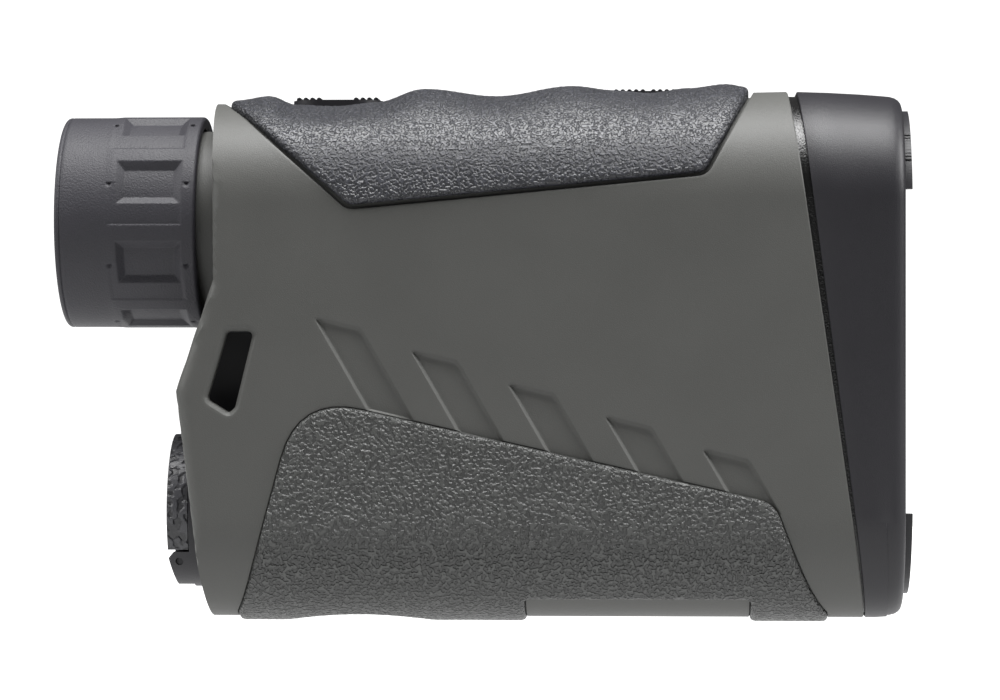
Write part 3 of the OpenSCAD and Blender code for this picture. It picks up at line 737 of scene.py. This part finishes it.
def oval_s(x, centre, length, width, grow):
    """Half width of a button's opening at X, as a distance round the skin."""
    r = width / 2 + grow
    straight = (length - width) / 2
    over = np.maximum(np.abs(x - centre) - straight, 0)
    return np.sqrt(np.maximum(r * r - over * over, 0))


BUTTON_W = 9.0
BUTTON_LENGTHS = {"rear": (REAR_BUTTON_X, 12.9), "front": (FRONT_BUTTON_X, 11.0)}
print("grips, stripes and openings are drawn")

# %% Housing halves
STRIPE_PROFILE = [(-0.75, -0.5), (-0.46, -0.5), (-0.39, -0.46), (-0.08, -0.05), (0.0, -0.01), (0.12, 0.0),
                  (0.4, 0.0)]
BED_PROFILE = [(-0.35, -0.75), (-0.22, -0.7), (-0.06, -0.14), (0.0, -0.04), (0.12, 0.0), (0.4, 0.0)]
SLOT_PROFILE = ((0, -0.62), (0.08, -0.5), (0.5, -0.06), (0.62, 0), (1.0, 0))
SIDE_BED_PROFILE = [(-0.3, -0.35), (-0.12, -0.33), (-0.04, -0.08), (0.0, -0.02), (0.08, 0.0), (0.3, 0.0)]


def housing_outline():
    """Edge of a half: middle of the top, the seam, middle of the floor, middle of the rear."""
    x = np.arange(UPPER_REAR_X + 0.2, SEAM_TOP[0], 0.5)
    open_s = np.zeros(len(x))
    for centre, length in BUTTON_LENGTHS.values():
        open_s = np.maximum(open_s, oval_s(x, centre, length, BUTTON_W, 0.25))
    top = np.stack([x, open_s], axis=1)
    s = np.arange(0.5, S_END, 0.5)
    seam = np.stack([seam_x(round_view(s, 0 * s)[1]), s], axis=1)
    x = np.arange(SEAM_FOOT[0], FOOT[0] + 0.2, -0.5)
    around = np.sqrt(np.maximum(5.05 ** 2 - (x - TRIPOD_X) ** 2, 0))
    floor = np.stack([x, S_END - around], axis=1)
    s = np.arange(S_END, 0, -0.5)
    z = round_view(s, 0 * s)[1]
    rear = np.stack([u_of_y(0 * z, z), s], axis=1)
    return np.vstack([top, seam, floor, rear])


def rear_hole(y, z):
    """A hole drawn from behind, laid on the unrolled skin."""
    return np.stack([u_of_y(y, z), s_of_z(z)], axis=1)


def half_ring(radius, centre_z, count=60):
    """The part of a round rear hole that lies on one half."""
    a = np.linspace(-math.pi / 2, math.pi / 2, count)
    return radius * np.cos(a) + 0.0, centre_z + radius * np.sin(a)


def notched(outline, radius, centre_z):
    """The outline with a half-round bite out of its rear edge."""
    y, z = half_ring(radius, centre_z)
    bite = rear_hole(np.maximum(y, 0.0), z)
    edge_s = outline[:, 1]
    face = u_of_y(0 * edge_s, round_view(edge_s, 0 * edge_s)[1])
    on_edge = np.abs(outline[:, 0] - face) < 1e-6
    s_low, s_high = s_of_z(centre_z + radius), s_of_z(centre_z - radius)
    gone = on_edge & (edge_s > s_low) & (edge_s < s_high)
    first = int(np.argmax(gone))
    return np.vstack([outline[:first], bite, outline[first:][~gone[first:]]])


def housing_half(name, side):
    outline = notched(notched(housing_outline(), 11.4, BATTERY_Z), 13.1, VIEW_Z)
    slot = side_loop([(-34.9, 40.9), (-31.2, 40.9), (-33.8, 30.2), (-34.7, 29.6), (-37.7, 31.5)],
                     [0.8, 0.8, 0.5, 0.5, 0.9], 0.35)
    corners_y = np.array([9.0, 14.0, 14.0, 9.0])
    corners_z = np.array([31.2, 31.2, 40.5, 40.5])
    mouth = rounded(list(map(tuple, rear_hole(corners_y, corners_z))), 0.8, 0.4)
    features = [Feature(stripe_loop(i), STRIPE_PROFILE) for i in range(5)]
    features.append(Feature(lower_grip_loop(0.16, S_END + 3), SIDE_BED_PROFILE))
    features.append(Feature(upper_grip_loop(0.7), BED_PROFILE))
    return skin(name, outline, [slot, mouth], features, hole_edge=SLOT_PROFILE, side=side, finish=HOUSING)


for half_name, side in (("right_housing", -1), ("left_housing", 1)):
    dress(housing_half(half_name, side), "housing", "housing", half_name + "_shell")

# %% [markdown]
# ## The upper grip
# A rubber saddle lies over the top and both shoulders. Its crest rises and
# dips so that the fingers find their place, and two oval windows let the
# buttons through. The leather grain is modelled in the mesh as rounded cells,
# because its relief shows on the silhouette.

# %% Upper grip
CREST = [(-40, 73.75), (-35, 73.85), (-30.5, 74.45), (-26.5, 73.2), (-21, 73.0), (-15.5, 73.5),
         (-8.3, 75.4), (1.9, 74.35), (12.6, 75.75), (19, 75.1), (23.3, 74.8), (29, 75.4),
         (34.3, 75.95), (37.6, 75.5), (45, 75.4)]
LEATHER_CELL = 0.82
LEATHER_DEPTH = 0.05


def cosine_through(pairs, x):
    """A smooth line through points, level at each of them."""
    at, height = np.array(pairs).T
    i = np.clip(np.searchsorted(at, x) - 1, 0, len(at) - 2)
    t = np.clip((x - at[i]) / (at[i + 1] - at[i]), 0, 1)
    return height[i] + (height[i + 1] - height[i]) * (1 - np.cos(math.pi * t)) / 2


def top_line(x):
    """The housing's own top edge in the side view."""
    along = np.clip((SEAM_TOP[0] - x) / (SEAM_TOP[0] - UPPER_REAR_X), 0, 1)
    return TOP_Z - REAR_DROP * along


def crest_rise(flat):
    """How far the crest lifts or dips, fading out towards the shoulders."""
    rise = cosine_through(CREST, flat[:, 0]) - top_line(flat[:, 0]) - PROUD
    dip = rise < 0
    t = np.clip((np.abs(flat[:, 1]) - np.where(dip, 8, 5)) / np.where(dip, 10, 13), 0, 1)
    return rise * (1 - t * t * (3 - 2 * t))


def leather_relief(flat):
    coarse = cell_heights(flat, LEATHER_CELL, 11, 0.55, (1.15, 0.9))
    fine = cell_heights(flat + 3.1, LEATHER_CELL * 0.55, 23, 0.7)
    return (coarse * 0.75 + fine * 0.25 - 1) * LEATHER_DEPTH * 1.3


def oval(centre_x, length, width, grow, step=0.35):
    """An oval round the middle of the top."""
    half, r = (length - width) / 2, width / 2 + grow
    a = np.linspace(-math.pi / 2, math.pi / 2, 25)
    right = np.stack([centre_x + half + r * np.cos(a), r * np.sin(a)], axis=1)
    return resampled(np.vstack([right, -right + (2 * centre_x, 0)]), step)


GRIP_EDGE = ((0, -0.15), (0.06, 0.16), (0.2, 0.4), (0.42, 0.54), (0.7, PROUD), (1.0, PROUD))
WINDOW_EDGE = ((0, -0.9), (0.12, -0.35), (0.4, 0.1), (0.8, 0.42), (1.3, PROUD), (1.7, PROUD))
windows = [oval(x, length, BUTTON_W, 0.45) for x, length in BUTTON_LENGTHS.values()]
top_grip = skin("upper_grip", upper_grip_loop(), windows, edge=GRIP_EDGE, hole_edge=WINDOW_EDGE, spacing=0.34,
                side=-1, thickness=1.1, relief=leather_relief, finish=LEATHER, extra=crest_rise)
dress(top_grip, "housing", "grain_rubber", "top_grip")

# %% [markdown]
# ## The side grips
# Each lower grip is a thicker pad of pebbled rubber that wraps under the body.
# Its foot line is hollowed behind the smooth base pad, as a finger rest. The
# pebbles come from the same cell function as the leather, only larger, rounder
# and deeper, so both rubbers read as one family.

# %% Side grips
PEBBLE_CELL = 1.0
PEBBLE_DEPTH = 0.06
SCALLOP = (-17.2, 53.0, 1.1)


def pebble_relief(flat):
    return (cell_heights(flat, PEBBLE_CELL, 5, 0.42) - 1) * PEBBLE_DEPTH


def scalloped(points, depth):
    """The foot line: level, and hollowed to an arc behind the pad."""
    centre, radius, rise = SCALLOP
    arc = rise - radius + np.sqrt(np.maximum(radius ** 2 - (points[:, 0] - centre) ** 2, 0))
    points[:, 2] = np.maximum(points[:, 2], np.maximum(0, arc) + depth)
    return points


LOWER_EDGE = ((0, -0.15), (0.06, 0.18), (0.22, 0.42), (0.45, 0.55), (0.8, PROUD), (1.1, PROUD))


def side_grip(name, side):
    return skin(name, lower_grip_loop(), edge=LOWER_EDGE, spacing=0.36, side=side, thickness=1.1,
                relief=pebble_relief, reshape=scalloped, finish=PEBBLE)


for hand, side in (("right", -1), ("left", 1)):
    dress(side_grip(hand + "_side_grip", side), "housing", "pebble_rubber", hand + "_grip")

# %% [markdown]
# ## Turned and lofted pieces
# Eyecup, lens cells and rings are round, so each is a grid: stations along the
# axis by steps round it. A function of both gives the radius, which lets one
# grid carry pockets, facets and grooves as true relief.

# %% Turning helper


def looped(rows, steps):
    """The faces of a grid that closes on itself both ways."""
    faces = []
    for i in range(rows):
        j = (i + 1) % rows
        for k in range(steps):
            m = (k + 1) % steps
            faces.append((i * steps + k, j * steps + k, j * steps + m, i * steps + m))
    return faces


def turned(name, stations, steps, finish, axis_z, relief=None):
    """A body of revolution along X from (x, radius) pairs, with a relief on the radius."""
    profile = np.array(stations, dtype=float)
    a = np.linspace(0, 2 * math.pi, steps, endpoint=False)
    x = np.repeat(profile[:, 0][:, None], steps, axis=1)
    r = np.repeat(profile[:, 1][:, None], steps, axis=1)
    angle = np.repeat(a[None, :], len(profile), axis=0)
    if relief is not None:
        r = r + relief(x, angle, r)
    points = np.stack([x, -r * np.cos(angle), axis_z + r * np.sin(angle)], axis=-1).reshape(-1, 3)
    return make_mesh(name, points, looped(len(profile), steps), finish)


def softened(stations, radius=0.25, parts=4):
    """A closed profile with its corners rounded."""
    out = []
    corners = [np.array(p, dtype=float) for p in stations]
    for before, corner, after in zip([corners[-1]] + corners[:-1], corners, corners[1:] + corners[:1]):
        a, b = before - corner, after - corner
        la, lb = np.linalg.norm(a), np.linalg.norm(b)
        cut = min(radius, la * 0.45, lb * 0.45)
        for t in np.linspace(0, 1, parts + 1):
            out.append(tuple((1 - t) ** 2 * (corner + a / la * cut) + 2 * t * (1 - t) * corner
                             + t * t * (corner + b / lb * cut)))
    return out


print("turning helper ready")

# %% [markdown]
# ## The eyecup
# A rubber sleeve is stretched over the focusing ring. Eight shallow facets with
# a line between them give the thumb a grip, and each holds a rectangular pocket
# with sloping walls. A rim lip and its seam close the rear.

# %% Eyecup
EYECUP_REAR, EYECUP_FRONT = span("eyecup")[0][0], span("eyecup")[1][0]
EYECUP_R = (span("eyecup")[1][2] - span("eyecup")[0][2]) / 2
POCKETS = 8
POCKET_X = (-51.2, -41.9)
POCKET_HALF = 3.35
POCKET_DEPTH = 0.85
POCKET_WALL = 1.15
POCKET_START = math.radians(20.6)
LINE_START = math.radians(-2.4)
ZONE_X = -52.3


def smooth_step(value, low, high):
    t = np.clip((value - low) / (high - low), 0, 1)
    return t * t * (3 - 2 * t)


def around(angle, start):
    """Arc length to the nearest of the eight places that begin at an angle."""
    pitch = 2 * math.pi / POCKETS
    return ((angle - start + pitch / 2) % pitch - pitch / 2) * EYECUP_R


def eyecup_relief(x, angle, r):
    outer = smooth_step(r, EYECUP_R - 0.7, EYECUP_R - 0.5)
    zone = smooth_step(x, ZONE_X - 0.8, ZONE_X + 0.8)
    raise_zone = 0.1 * zone
    arc = around(angle, POCKET_START)
    wall = np.minimum(np.minimum(x - POCKET_X[0], POCKET_X[1] - x), POCKET_HALF - np.abs(arc))
    pocket = -POCKET_DEPTH * np.clip(wall / POCKET_WALL, 0, 1)
    line = around(angle, LINE_START)
    reach = smooth_step(x, -52.5, -51.8) * smooth_step(-x, 41.6, 42.2)
    groove = -0.16 * np.clip(1 - np.abs(line) / 0.24, 0, 1) * reach
    facet = -0.12 * smooth_step(line, 0.0, 0.2) * smooth_step(-line, -9.0, -3.0) * reach
    notch_at = np.minimum(np.abs(x + 52.1), np.abs(x + 41.2))
    notch_arc = arc + 0.5
    notch = (-0.42 * np.clip(1 - notch_at / 0.5, 0, 1) * smooth_step(notch_arc, -0.45, 0.35)
             * (notch_arc < 0.4))
    seam = -0.12 * np.clip(1 - np.abs(x - (EYECUP_REAR + 0.75)) / 0.16, 0, 1)
    return outer * (np.minimum(np.minimum(pocket, notch), groove + facet) + seam + raise_zone - 0.1)


rear_part = np.arange(EYECUP_REAR + 0.75, ZONE_X - 0.6, 0.55)
front_part = np.arange(ZONE_X - 0.6, EYECUP_FRONT - 0.5, 0.15)
seam_part = EYECUP_REAR + 0.75 + np.array([-0.17, -0.09, 0.0, 0.09, 0.17])
taper = [(x, EYECUP_R + 0.0) for x in np.concatenate([seam_part, rear_part[1:], front_part])]
round_front = [(EYECUP_FRONT - 0.5 + 0.5 * math.sin(t), EYECUP_R - 0.5 + 0.5 * math.cos(t))
               for t in np.linspace(0.1, math.pi / 2, 7)]
round_rear = [(EYECUP_REAR + 0.55 - 0.55 * math.sin(t), EYECUP_R - 0.62 + 0.62 * math.cos(t))
              for t in np.linspace(math.pi / 2, 0.08, 8)]
inside = [(EYECUP_FRONT, 13.7), (EYECUP_FRONT - 0.3, 13.4), (-58.0, 13.3), (-58.6, 12.6),
          (EYECUP_REAR + 0.3, 12.6), (EYECUP_REAR, 13.0)]
sleeve_line = round_rear + taper + round_front + inside
eyecup = turned("eyecup_sleeve", sleeve_line, 720, EYECUP, VIEW_Z, eyecup_relief)
dress(eyecup, "diopter", "eyecup_rubber", "eyecup")

# %% [markdown]
# ## Eyepiece tube, focusing ring and lens cell
# The tube's collar belongs to the housing and stays still; the ring and the
# eyecup turn round it, and the lens cell slides inside. The visible ends get
# chamfers and a ribbed light baffle, as real cells have.

# %% Eyepiece pieces
tube_low = span("eyepiece_tube")[0]
COLLAR_R, SLEEVE_R, BORE_R = 13.0, 12.0, 10.05
collar = softened([(-31.2, BORE_R), (tube_low[0], BORE_R), (tube_low[0], SLEEVE_R), (-46.1, SLEEVE_R),
                   (-46.1, SLEEVE_R - 0.55), (-44.9, SLEEVE_R - 0.55), (-44.9, SLEEVE_R), (-42.0, SLEEVE_R),
                   (-42.0, COLLAR_R), (-33.1, COLLAR_R), (-33.1, 14.45), (-31.2, 14.45)], 0.2)
tube = turned("eyepiece_collar", collar, 192, HOUSING, VIEW_Z)
dress(tube, "housing", "housing", "eyepiece_tube")

cell_low, cell_high = span("ocular_cell")
baffle = [(cell_low[0], 9.0 + 0.2), (cell_low[0] + 0.5, 9.0)]
for i in range(6):
    x = cell_low[0] + 1.0 + 0.9 * i
    baffle += [(x, 9.0), (x + 0.15, 8.75), (x + 0.55, 8.75), (x + 0.7, 9.0)]
cell_profile = baffle + [(-46.6, 8.95), (-46.6, 7.6), (-41.5, 7.6), (-41.5, 8.9), (cell_high[0], 8.9),
                         (cell_high[0], BORE_R - 0.08), (cell_low[0] + 0.3, BORE_R - 0.08),
                         (cell_low[0], BORE_R - 0.35)]
cell = turned("ocular_lens_cell", cell_profile, 192, INNER, VIEW_Z)
dress(cell, "ocular", "inner_black", "ocular_cell")

# %% [markdown]
# ## The bezel
# The black front cap is a loft round the same section as the housing. Its rear
# edge follows the slanted seam, and near the front it pulls in to a soft edge.
# Stations from the seam to the front plane, by steps round the section, give
# one clean grid.

# %% Bezel
BEZEL_PROFILE = [(0.0, 0.9, -2.6), (0.0, 0.0, -2.4), (0.0, 0.0, -0.22), (0.0, 0.06, -0.08), (0.0, 0.2, 0.0),
                 (0.3, 0.0, 0.0), (0.6, 0.0, -0.1), (1.0, -2.6, -0.25), (1.0, -1.6, -0.32), (1.0, -0.9, -0.5),
                 (1.0, -0.42, -0.8), (1.0, -0.14, -1.15), (1.0, 0.0, -1.6), (1.0, 0.0, -2.35),
                 (1.0, -0.15, -2.5), (1.0, -1.6, -2.6)]
BEZEL_STEPS = 420


def bezel_point(share, shift, offset, s):
    y, z = round_view(s, offset + 0 * s)
    seam = bezel_seam_x(np.clip(z, 0, 80))
    x = seam + (BEZEL_X - seam) * share + shift
    slope = np.clip((x - 44) / (BEZEL_X - 44), 0, 1) * np.clip((z - 50) / 25, 0, 1)
    return np.stack([x, -np.sign(s) * y, z - 0.5 * slope], axis=-1)


steps = np.linspace(-S_END, S_END, BEZEL_STEPS, endpoint=False)
rows = [bezel_point(share, shift, offset, steps) for share, shift, offset in BEZEL_PROFILE]
bezel_faces = looped(len(rows), BEZEL_STEPS)
bezel = make_mesh("front_bezel_cap", np.vstack(rows), bezel_faces, BEZEL)
dress(bezel, "housing", "bezel", "front_bezel")

# %% [markdown]
# ## Strap chambers
# Behind each strap slot lies a small box, open to the slot and to the rear,
# so that a cord can pass round the bar between them. It is folded from four
# walls, so the camera never looks into the body.

# %% Strap chambers
CHAMBER_FRONT_X, CHAMBER_Y, CHAMBER_Z = -30.6, (8.6, 17.2), (29.0, 41.4)
CHAMBER_SETBACK = 1.6


def open_box(name, side):
    """A chamber whose outer side and rear are open."""
    x1 = CHAMBER_FRONT_X
    y0, y1 = (side * v for v in CHAMBER_Y)
    z0, z1 = CHAMBER_Z
    wall_mm = 0.6
    points, faces = [], []
    slabs = [((None, y0, z0), (x1, y0 + side * wall_mm, z1)), ((x1 - wall_mm, y0, z0), (x1, y1, z1)),
             ((None, y0, z0), (x1, y1, z0 + wall_mm)), ((None, y0, z1 - wall_mm), (x1, y1, z1))]
    for low, high in slabs:
        start = len(points)
        points += [(float(rear_x(z)) + CHAMBER_SETBACK if x is None else x, y, z)
                   for x in (low[0], high[0]) for y in (low[1], high[1]) for z in (low[2], high[2])]
        faces += [[start + i for i in face] for face in
                  ((0, 1, 3, 2), (4, 6, 7, 5), (0, 4, 5, 1), (2, 3, 7, 6), (0, 2, 6, 4), (1, 5, 7, 3))]
    return make_mesh(name, points, faces, INNER)


for chamber_name, side in (("right_strap_chamber", -1), ("left_strap_chamber", 1)):
    dress(open_box(chamber_name, side), "housing", "inner_black")

# %% [markdown]
# ## Ribs on the upper lens hood
# A short row of fine ribs on each side of the upper hood's lip is a grip for a
# cleaning cap. They all have one shape, so Geometry Nodes set one rib on each
# point of a line, and the result is made real.

# %% Ribs by Geometry Nodes


def repeated(name, count, start, step, size, finish):
    """Rounded bars in a row, made by a node tree with named inputs."""
    tree = bpy.data.node_groups.new(name, "GeometryNodeTree")
    face = tree.interface
    face.new_socket("Geometry", in_out="OUTPUT", socket_type="NodeSocketGeometry")
    sockets = {}
    for title, kind, value in (("Count", "NodeSocketInt", count), ("Start", "NodeSocketVector", start),
                               ("Step", "NodeSocketVector", step), ("Size", "NodeSocketVector", size)):
        made = face.new_socket(title, in_out="INPUT", socket_type=kind)
        sockets[made.identifier] = value
    nodes, links = tree.nodes, tree.links
    given, result = nodes.new("NodeGroupInput"), nodes.new("NodeGroupOutput")
    line, bar = nodes.new("GeometryNodeMeshLine"), nodes.new("GeometryNodeMeshCube")
    place, real = nodes.new("GeometryNodeInstanceOnPoints"), nodes.new("GeometryNodeRealizeInstances")
    paint = nodes.new("GeometryNodeSetMaterial")
    paint.inputs["Material"].default_value = finish.data
    for source, out, target, to in ((given, "Count", line, "Count"), (given, "Start", line, "Start Location"),
                                    (given, "Step", line, "Offset"), (given, "Size", bar, "Size"),
                                    (line, 0, place, "Points"), (bar, 0, place, "Instance"),
                                    (place, 0, real, 0), (real, 0, paint, 0), (paint, 0, result, 0)):
        links.new(source.outputs[out], target.inputs[to])
    mesh = bpy.data.meshes.new(name)
    piece = bpy.data.objects.new(name, mesh)
    scene.collection.objects.link(piece)
    grown = piece.modifiers.new("row", "NODES")
    grown.node_group = tree
    for identifier, value in sockets.items():
        grown[identifier] = value if isinstance(value, int) else tuple(v * MM for v in value)
    softened_edges = piece.modifiers.new("soft", "BEVEL")
    softened_edges.width = min(size) * MM * 0.3
    softened_edges.segments = 3
    return applied(piece)


HOOD_RIBS = 9
RIB_SIZE = (0.9, 2.0, 0.24)
for rib_name, side in (("right_hood_ribs", -1), ("left_hood_ribs", 1)):
    first = (LIP_X - 0.5, side * 12.7, 64.75)
    ribs = repeated(rib_name, HOOD_RIBS, first, (0, side * -0.36, 0.44), RIB_SIZE, INNER)
    dress(ribs, "housing", "inner_black")

# %% [markdown]
# ## Finishes for the parts that keep their shape
# Boards, barrels, prisms and screws keep the frame's exact shape, so they only
# need a finish. Metal parts get fine turning marks, glass its coating, and the
# boards their lacquer.

# %% Metals, glass and boards
GLASS_INDEX = 1.52


def turned_metal(name, colour, rough=0.3):
    """Machined metal: fine marks that follow the tool."""
    mat = Finish(name)
    marks = mat.node("ShaderNodeTexWave", {"wave_type": "BANDS", "bands_direction": "X"},
                     {"Vector": mat.place(), "Scale": 900.0, "Distortion": 1.5, "Detail": 2.0}, out=1)
    stain = mat.noise(3, 3)
    tint = mat.colours(stain, tuple(c * 0.75 for c in colour), colour)
    mat.set(Base_Color=tint, Metallic=1.0, Roughness=marks * 0.08 + stain * 0.12 + (rough - 0.1),
            Normal=mat.bump(marks * 0.004))
    return mat


def clear_glass(name, tint):
    """Optical glass with a faint bloom from its coating."""
    mat = Finish(name)
    bloom = mat.noise(5, 2)
    tints = mat.colours(bloom, tint, tuple(min(1, c * 1.1) for c in tint))
    mat.set(Base_Color=tints, Roughness=bloom * 0.02 + 0.01, IOR=GLASS_INDEX, Transmission_Weight=1.0)
    return mat


def lacquered_board(name, colour):
    """A circuit board: traces under a green lacquer."""
    mat = Finish(name)
    traces = mat.cells(1.6, "DISTANCE_TO_EDGE", 0.2).ramp(0.03, 0.06)
    weave = mat.noise(0.5, 2)
    mat.set(Base_Color=mat.colours(traces, tuple(c * 1.6 for c in colour), colour),
            Roughness=weave * 0.15 + 0.25, Normal=mat.bump(traces * -0.02))
    return mat


# the cap's grain also paints shade into its valleys and a highlight onto its pad tops
CAP_GRAIN = grip_rubber("cap_knurled_grain", (0.012, 0.012, 0.013), (0.05, 0.05, 0.056), 1.0, 0.25, 0.42)
STEEL = turned_metal("steel_plated", (0.52, 0.5, 0.47), 0.32)
BLACK_STEEL = turned_metal("steel_blackened", (0.05, 0.05, 0.052), 0.4)
BRASS = turned_metal("brass_turned", (0.62, 0.44, 0.18), 0.28)
ALLOY = turned_metal("frame_alloy", (0.35, 0.36, 0.37), 0.38)
COATED = clear_glass("lens_coated", (0.93, 0.98, 0.95))
PRISM = clear_glass("prism_clear", (0.98, 0.98, 0.98))
BOARD = lacquered_board("board_green", (0.01, 0.07, 0.03))
CHIP = moulded_plastic("chip_epoxy", (0.012, 0.012, 0.013), 0.4, 0.004)
print("metals, glass and boards ready")

# %% Finishes onto the frame's own parts
SLOT_FINISH = {"housing": HOUSING, "bezel": BEZEL, "grain_rubber": LEATHER, "pebble_rubber": PEBBLE,
               "eyecup_rubber": EYECUP, "seal_rubber": SEAL, "inner_black": INNER, "frame_metal": ALLOY,
               "coated_glass": COATED, "prism_glass": PRISM, "steel": STEEL, "brass": BRASS,
               "circuit_board": BOARD, "component_black": CHIP}
for node_name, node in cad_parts.items():
    for held in node.material_slots:
        base_name = held.material.name.split(".")[0]
        held.material = SLOT_FINISH[base_name].data
for node_name, finish in (("cap_bail", CAP_GRAIN), ("battery_cap", BEZEL), ("bail_pin", BLACK_STEEL)):
    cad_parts[node_name].material_slots[0].material = finish.data
print("finished", len(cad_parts), "frame parts")

# %% [markdown]
# ## The studio
# A small product is shot on a lit white sweep: one big soft light overhead,
# white all round, and light coming back up from the table. The floor glows
# slightly so that it stays white, and only keeps a breath of shadow.

# %% Floor, world and lights
scene.view_settings.view_transform = "Standard"
FLOOR_RADIUS = 0.3
sweep = Finish("white_sweep")
mottle = sweep.noise(300, 1)
sweep.set(Base_Color=sweep.colours(mottle, (0.1, 0.1, 0.1), (0.12, 0.12, 0.12)), Roughness=0.9,
          Emission_Color=(1, 1, 1, 1), Emission_Strength=1.35, Specular_IOR_Level=0.0)
turn = np.linspace(0, 2 * math.pi, 96, endpoint=False)
reach = FLOOR_RADIUS / MM
floor_points = [(0, 0, 0)] + [(reach * math.cos(a), reach * math.sin(a), 0) for a in turn]
floor_faces = [(0, 1 + i, 1 + (i + 1) % len(turn)) for i in range(len(turn))]
floor = make_mesh("floor", floor_points, floor_faces, sweep, outward=False)

world = bpy.data.worlds.new("white_tent")
scene.world = world
world.use_nodes = True
tent = world.node_tree
seen = tent.nodes.new("ShaderNodeLightPath")
glow = tent.nodes["Background"]
strength = tent.nodes.new("ShaderNodeMapRange")
strength.inputs["To Min"].default_value = 0.1
strength.inputs["To Max"].default_value = 1.2
tent.links.new(seen.outputs["Is Camera Ray"], strength.inputs["Value"])
tent.links.new(strength.outputs[0], glow.inputs["Strength"])
glow.inputs["Color"].default_value = (1, 1, 1, 1)


def softbox(name, place, target, size, power):
    """A rectangular soft light that looks at a point."""
    data = bpy.data.lights.new(name, "AREA")
    data.shape = "RECTANGLE"
    data.size, data.size_y = size
    data.energy = power
    lamp = bpy.data.objects.new(name, data)
    scene.collection.objects.link(lamp)
    lamp.location = place
    lamp.rotation_euler = (Vector(target) - Vector(place)).to_track_quat("-Z", "Y").to_euler()
    lamp.visible_camera = False
    return lamp


softbox("overhead", (0.0, -0.12, 0.66), (0, 0, 0.04), (0.46, 0.3), 11.0)
softbox("left_high", (-0.55, -0.07, 0.36), (0, 0, 0.04), (0.35, 0.35), 3.0)
softbox("right_high", (0.6, -0.07, 0.4), (0, 0, 0.04), (0.3, 0.3), 6.0)
print("studio ready")
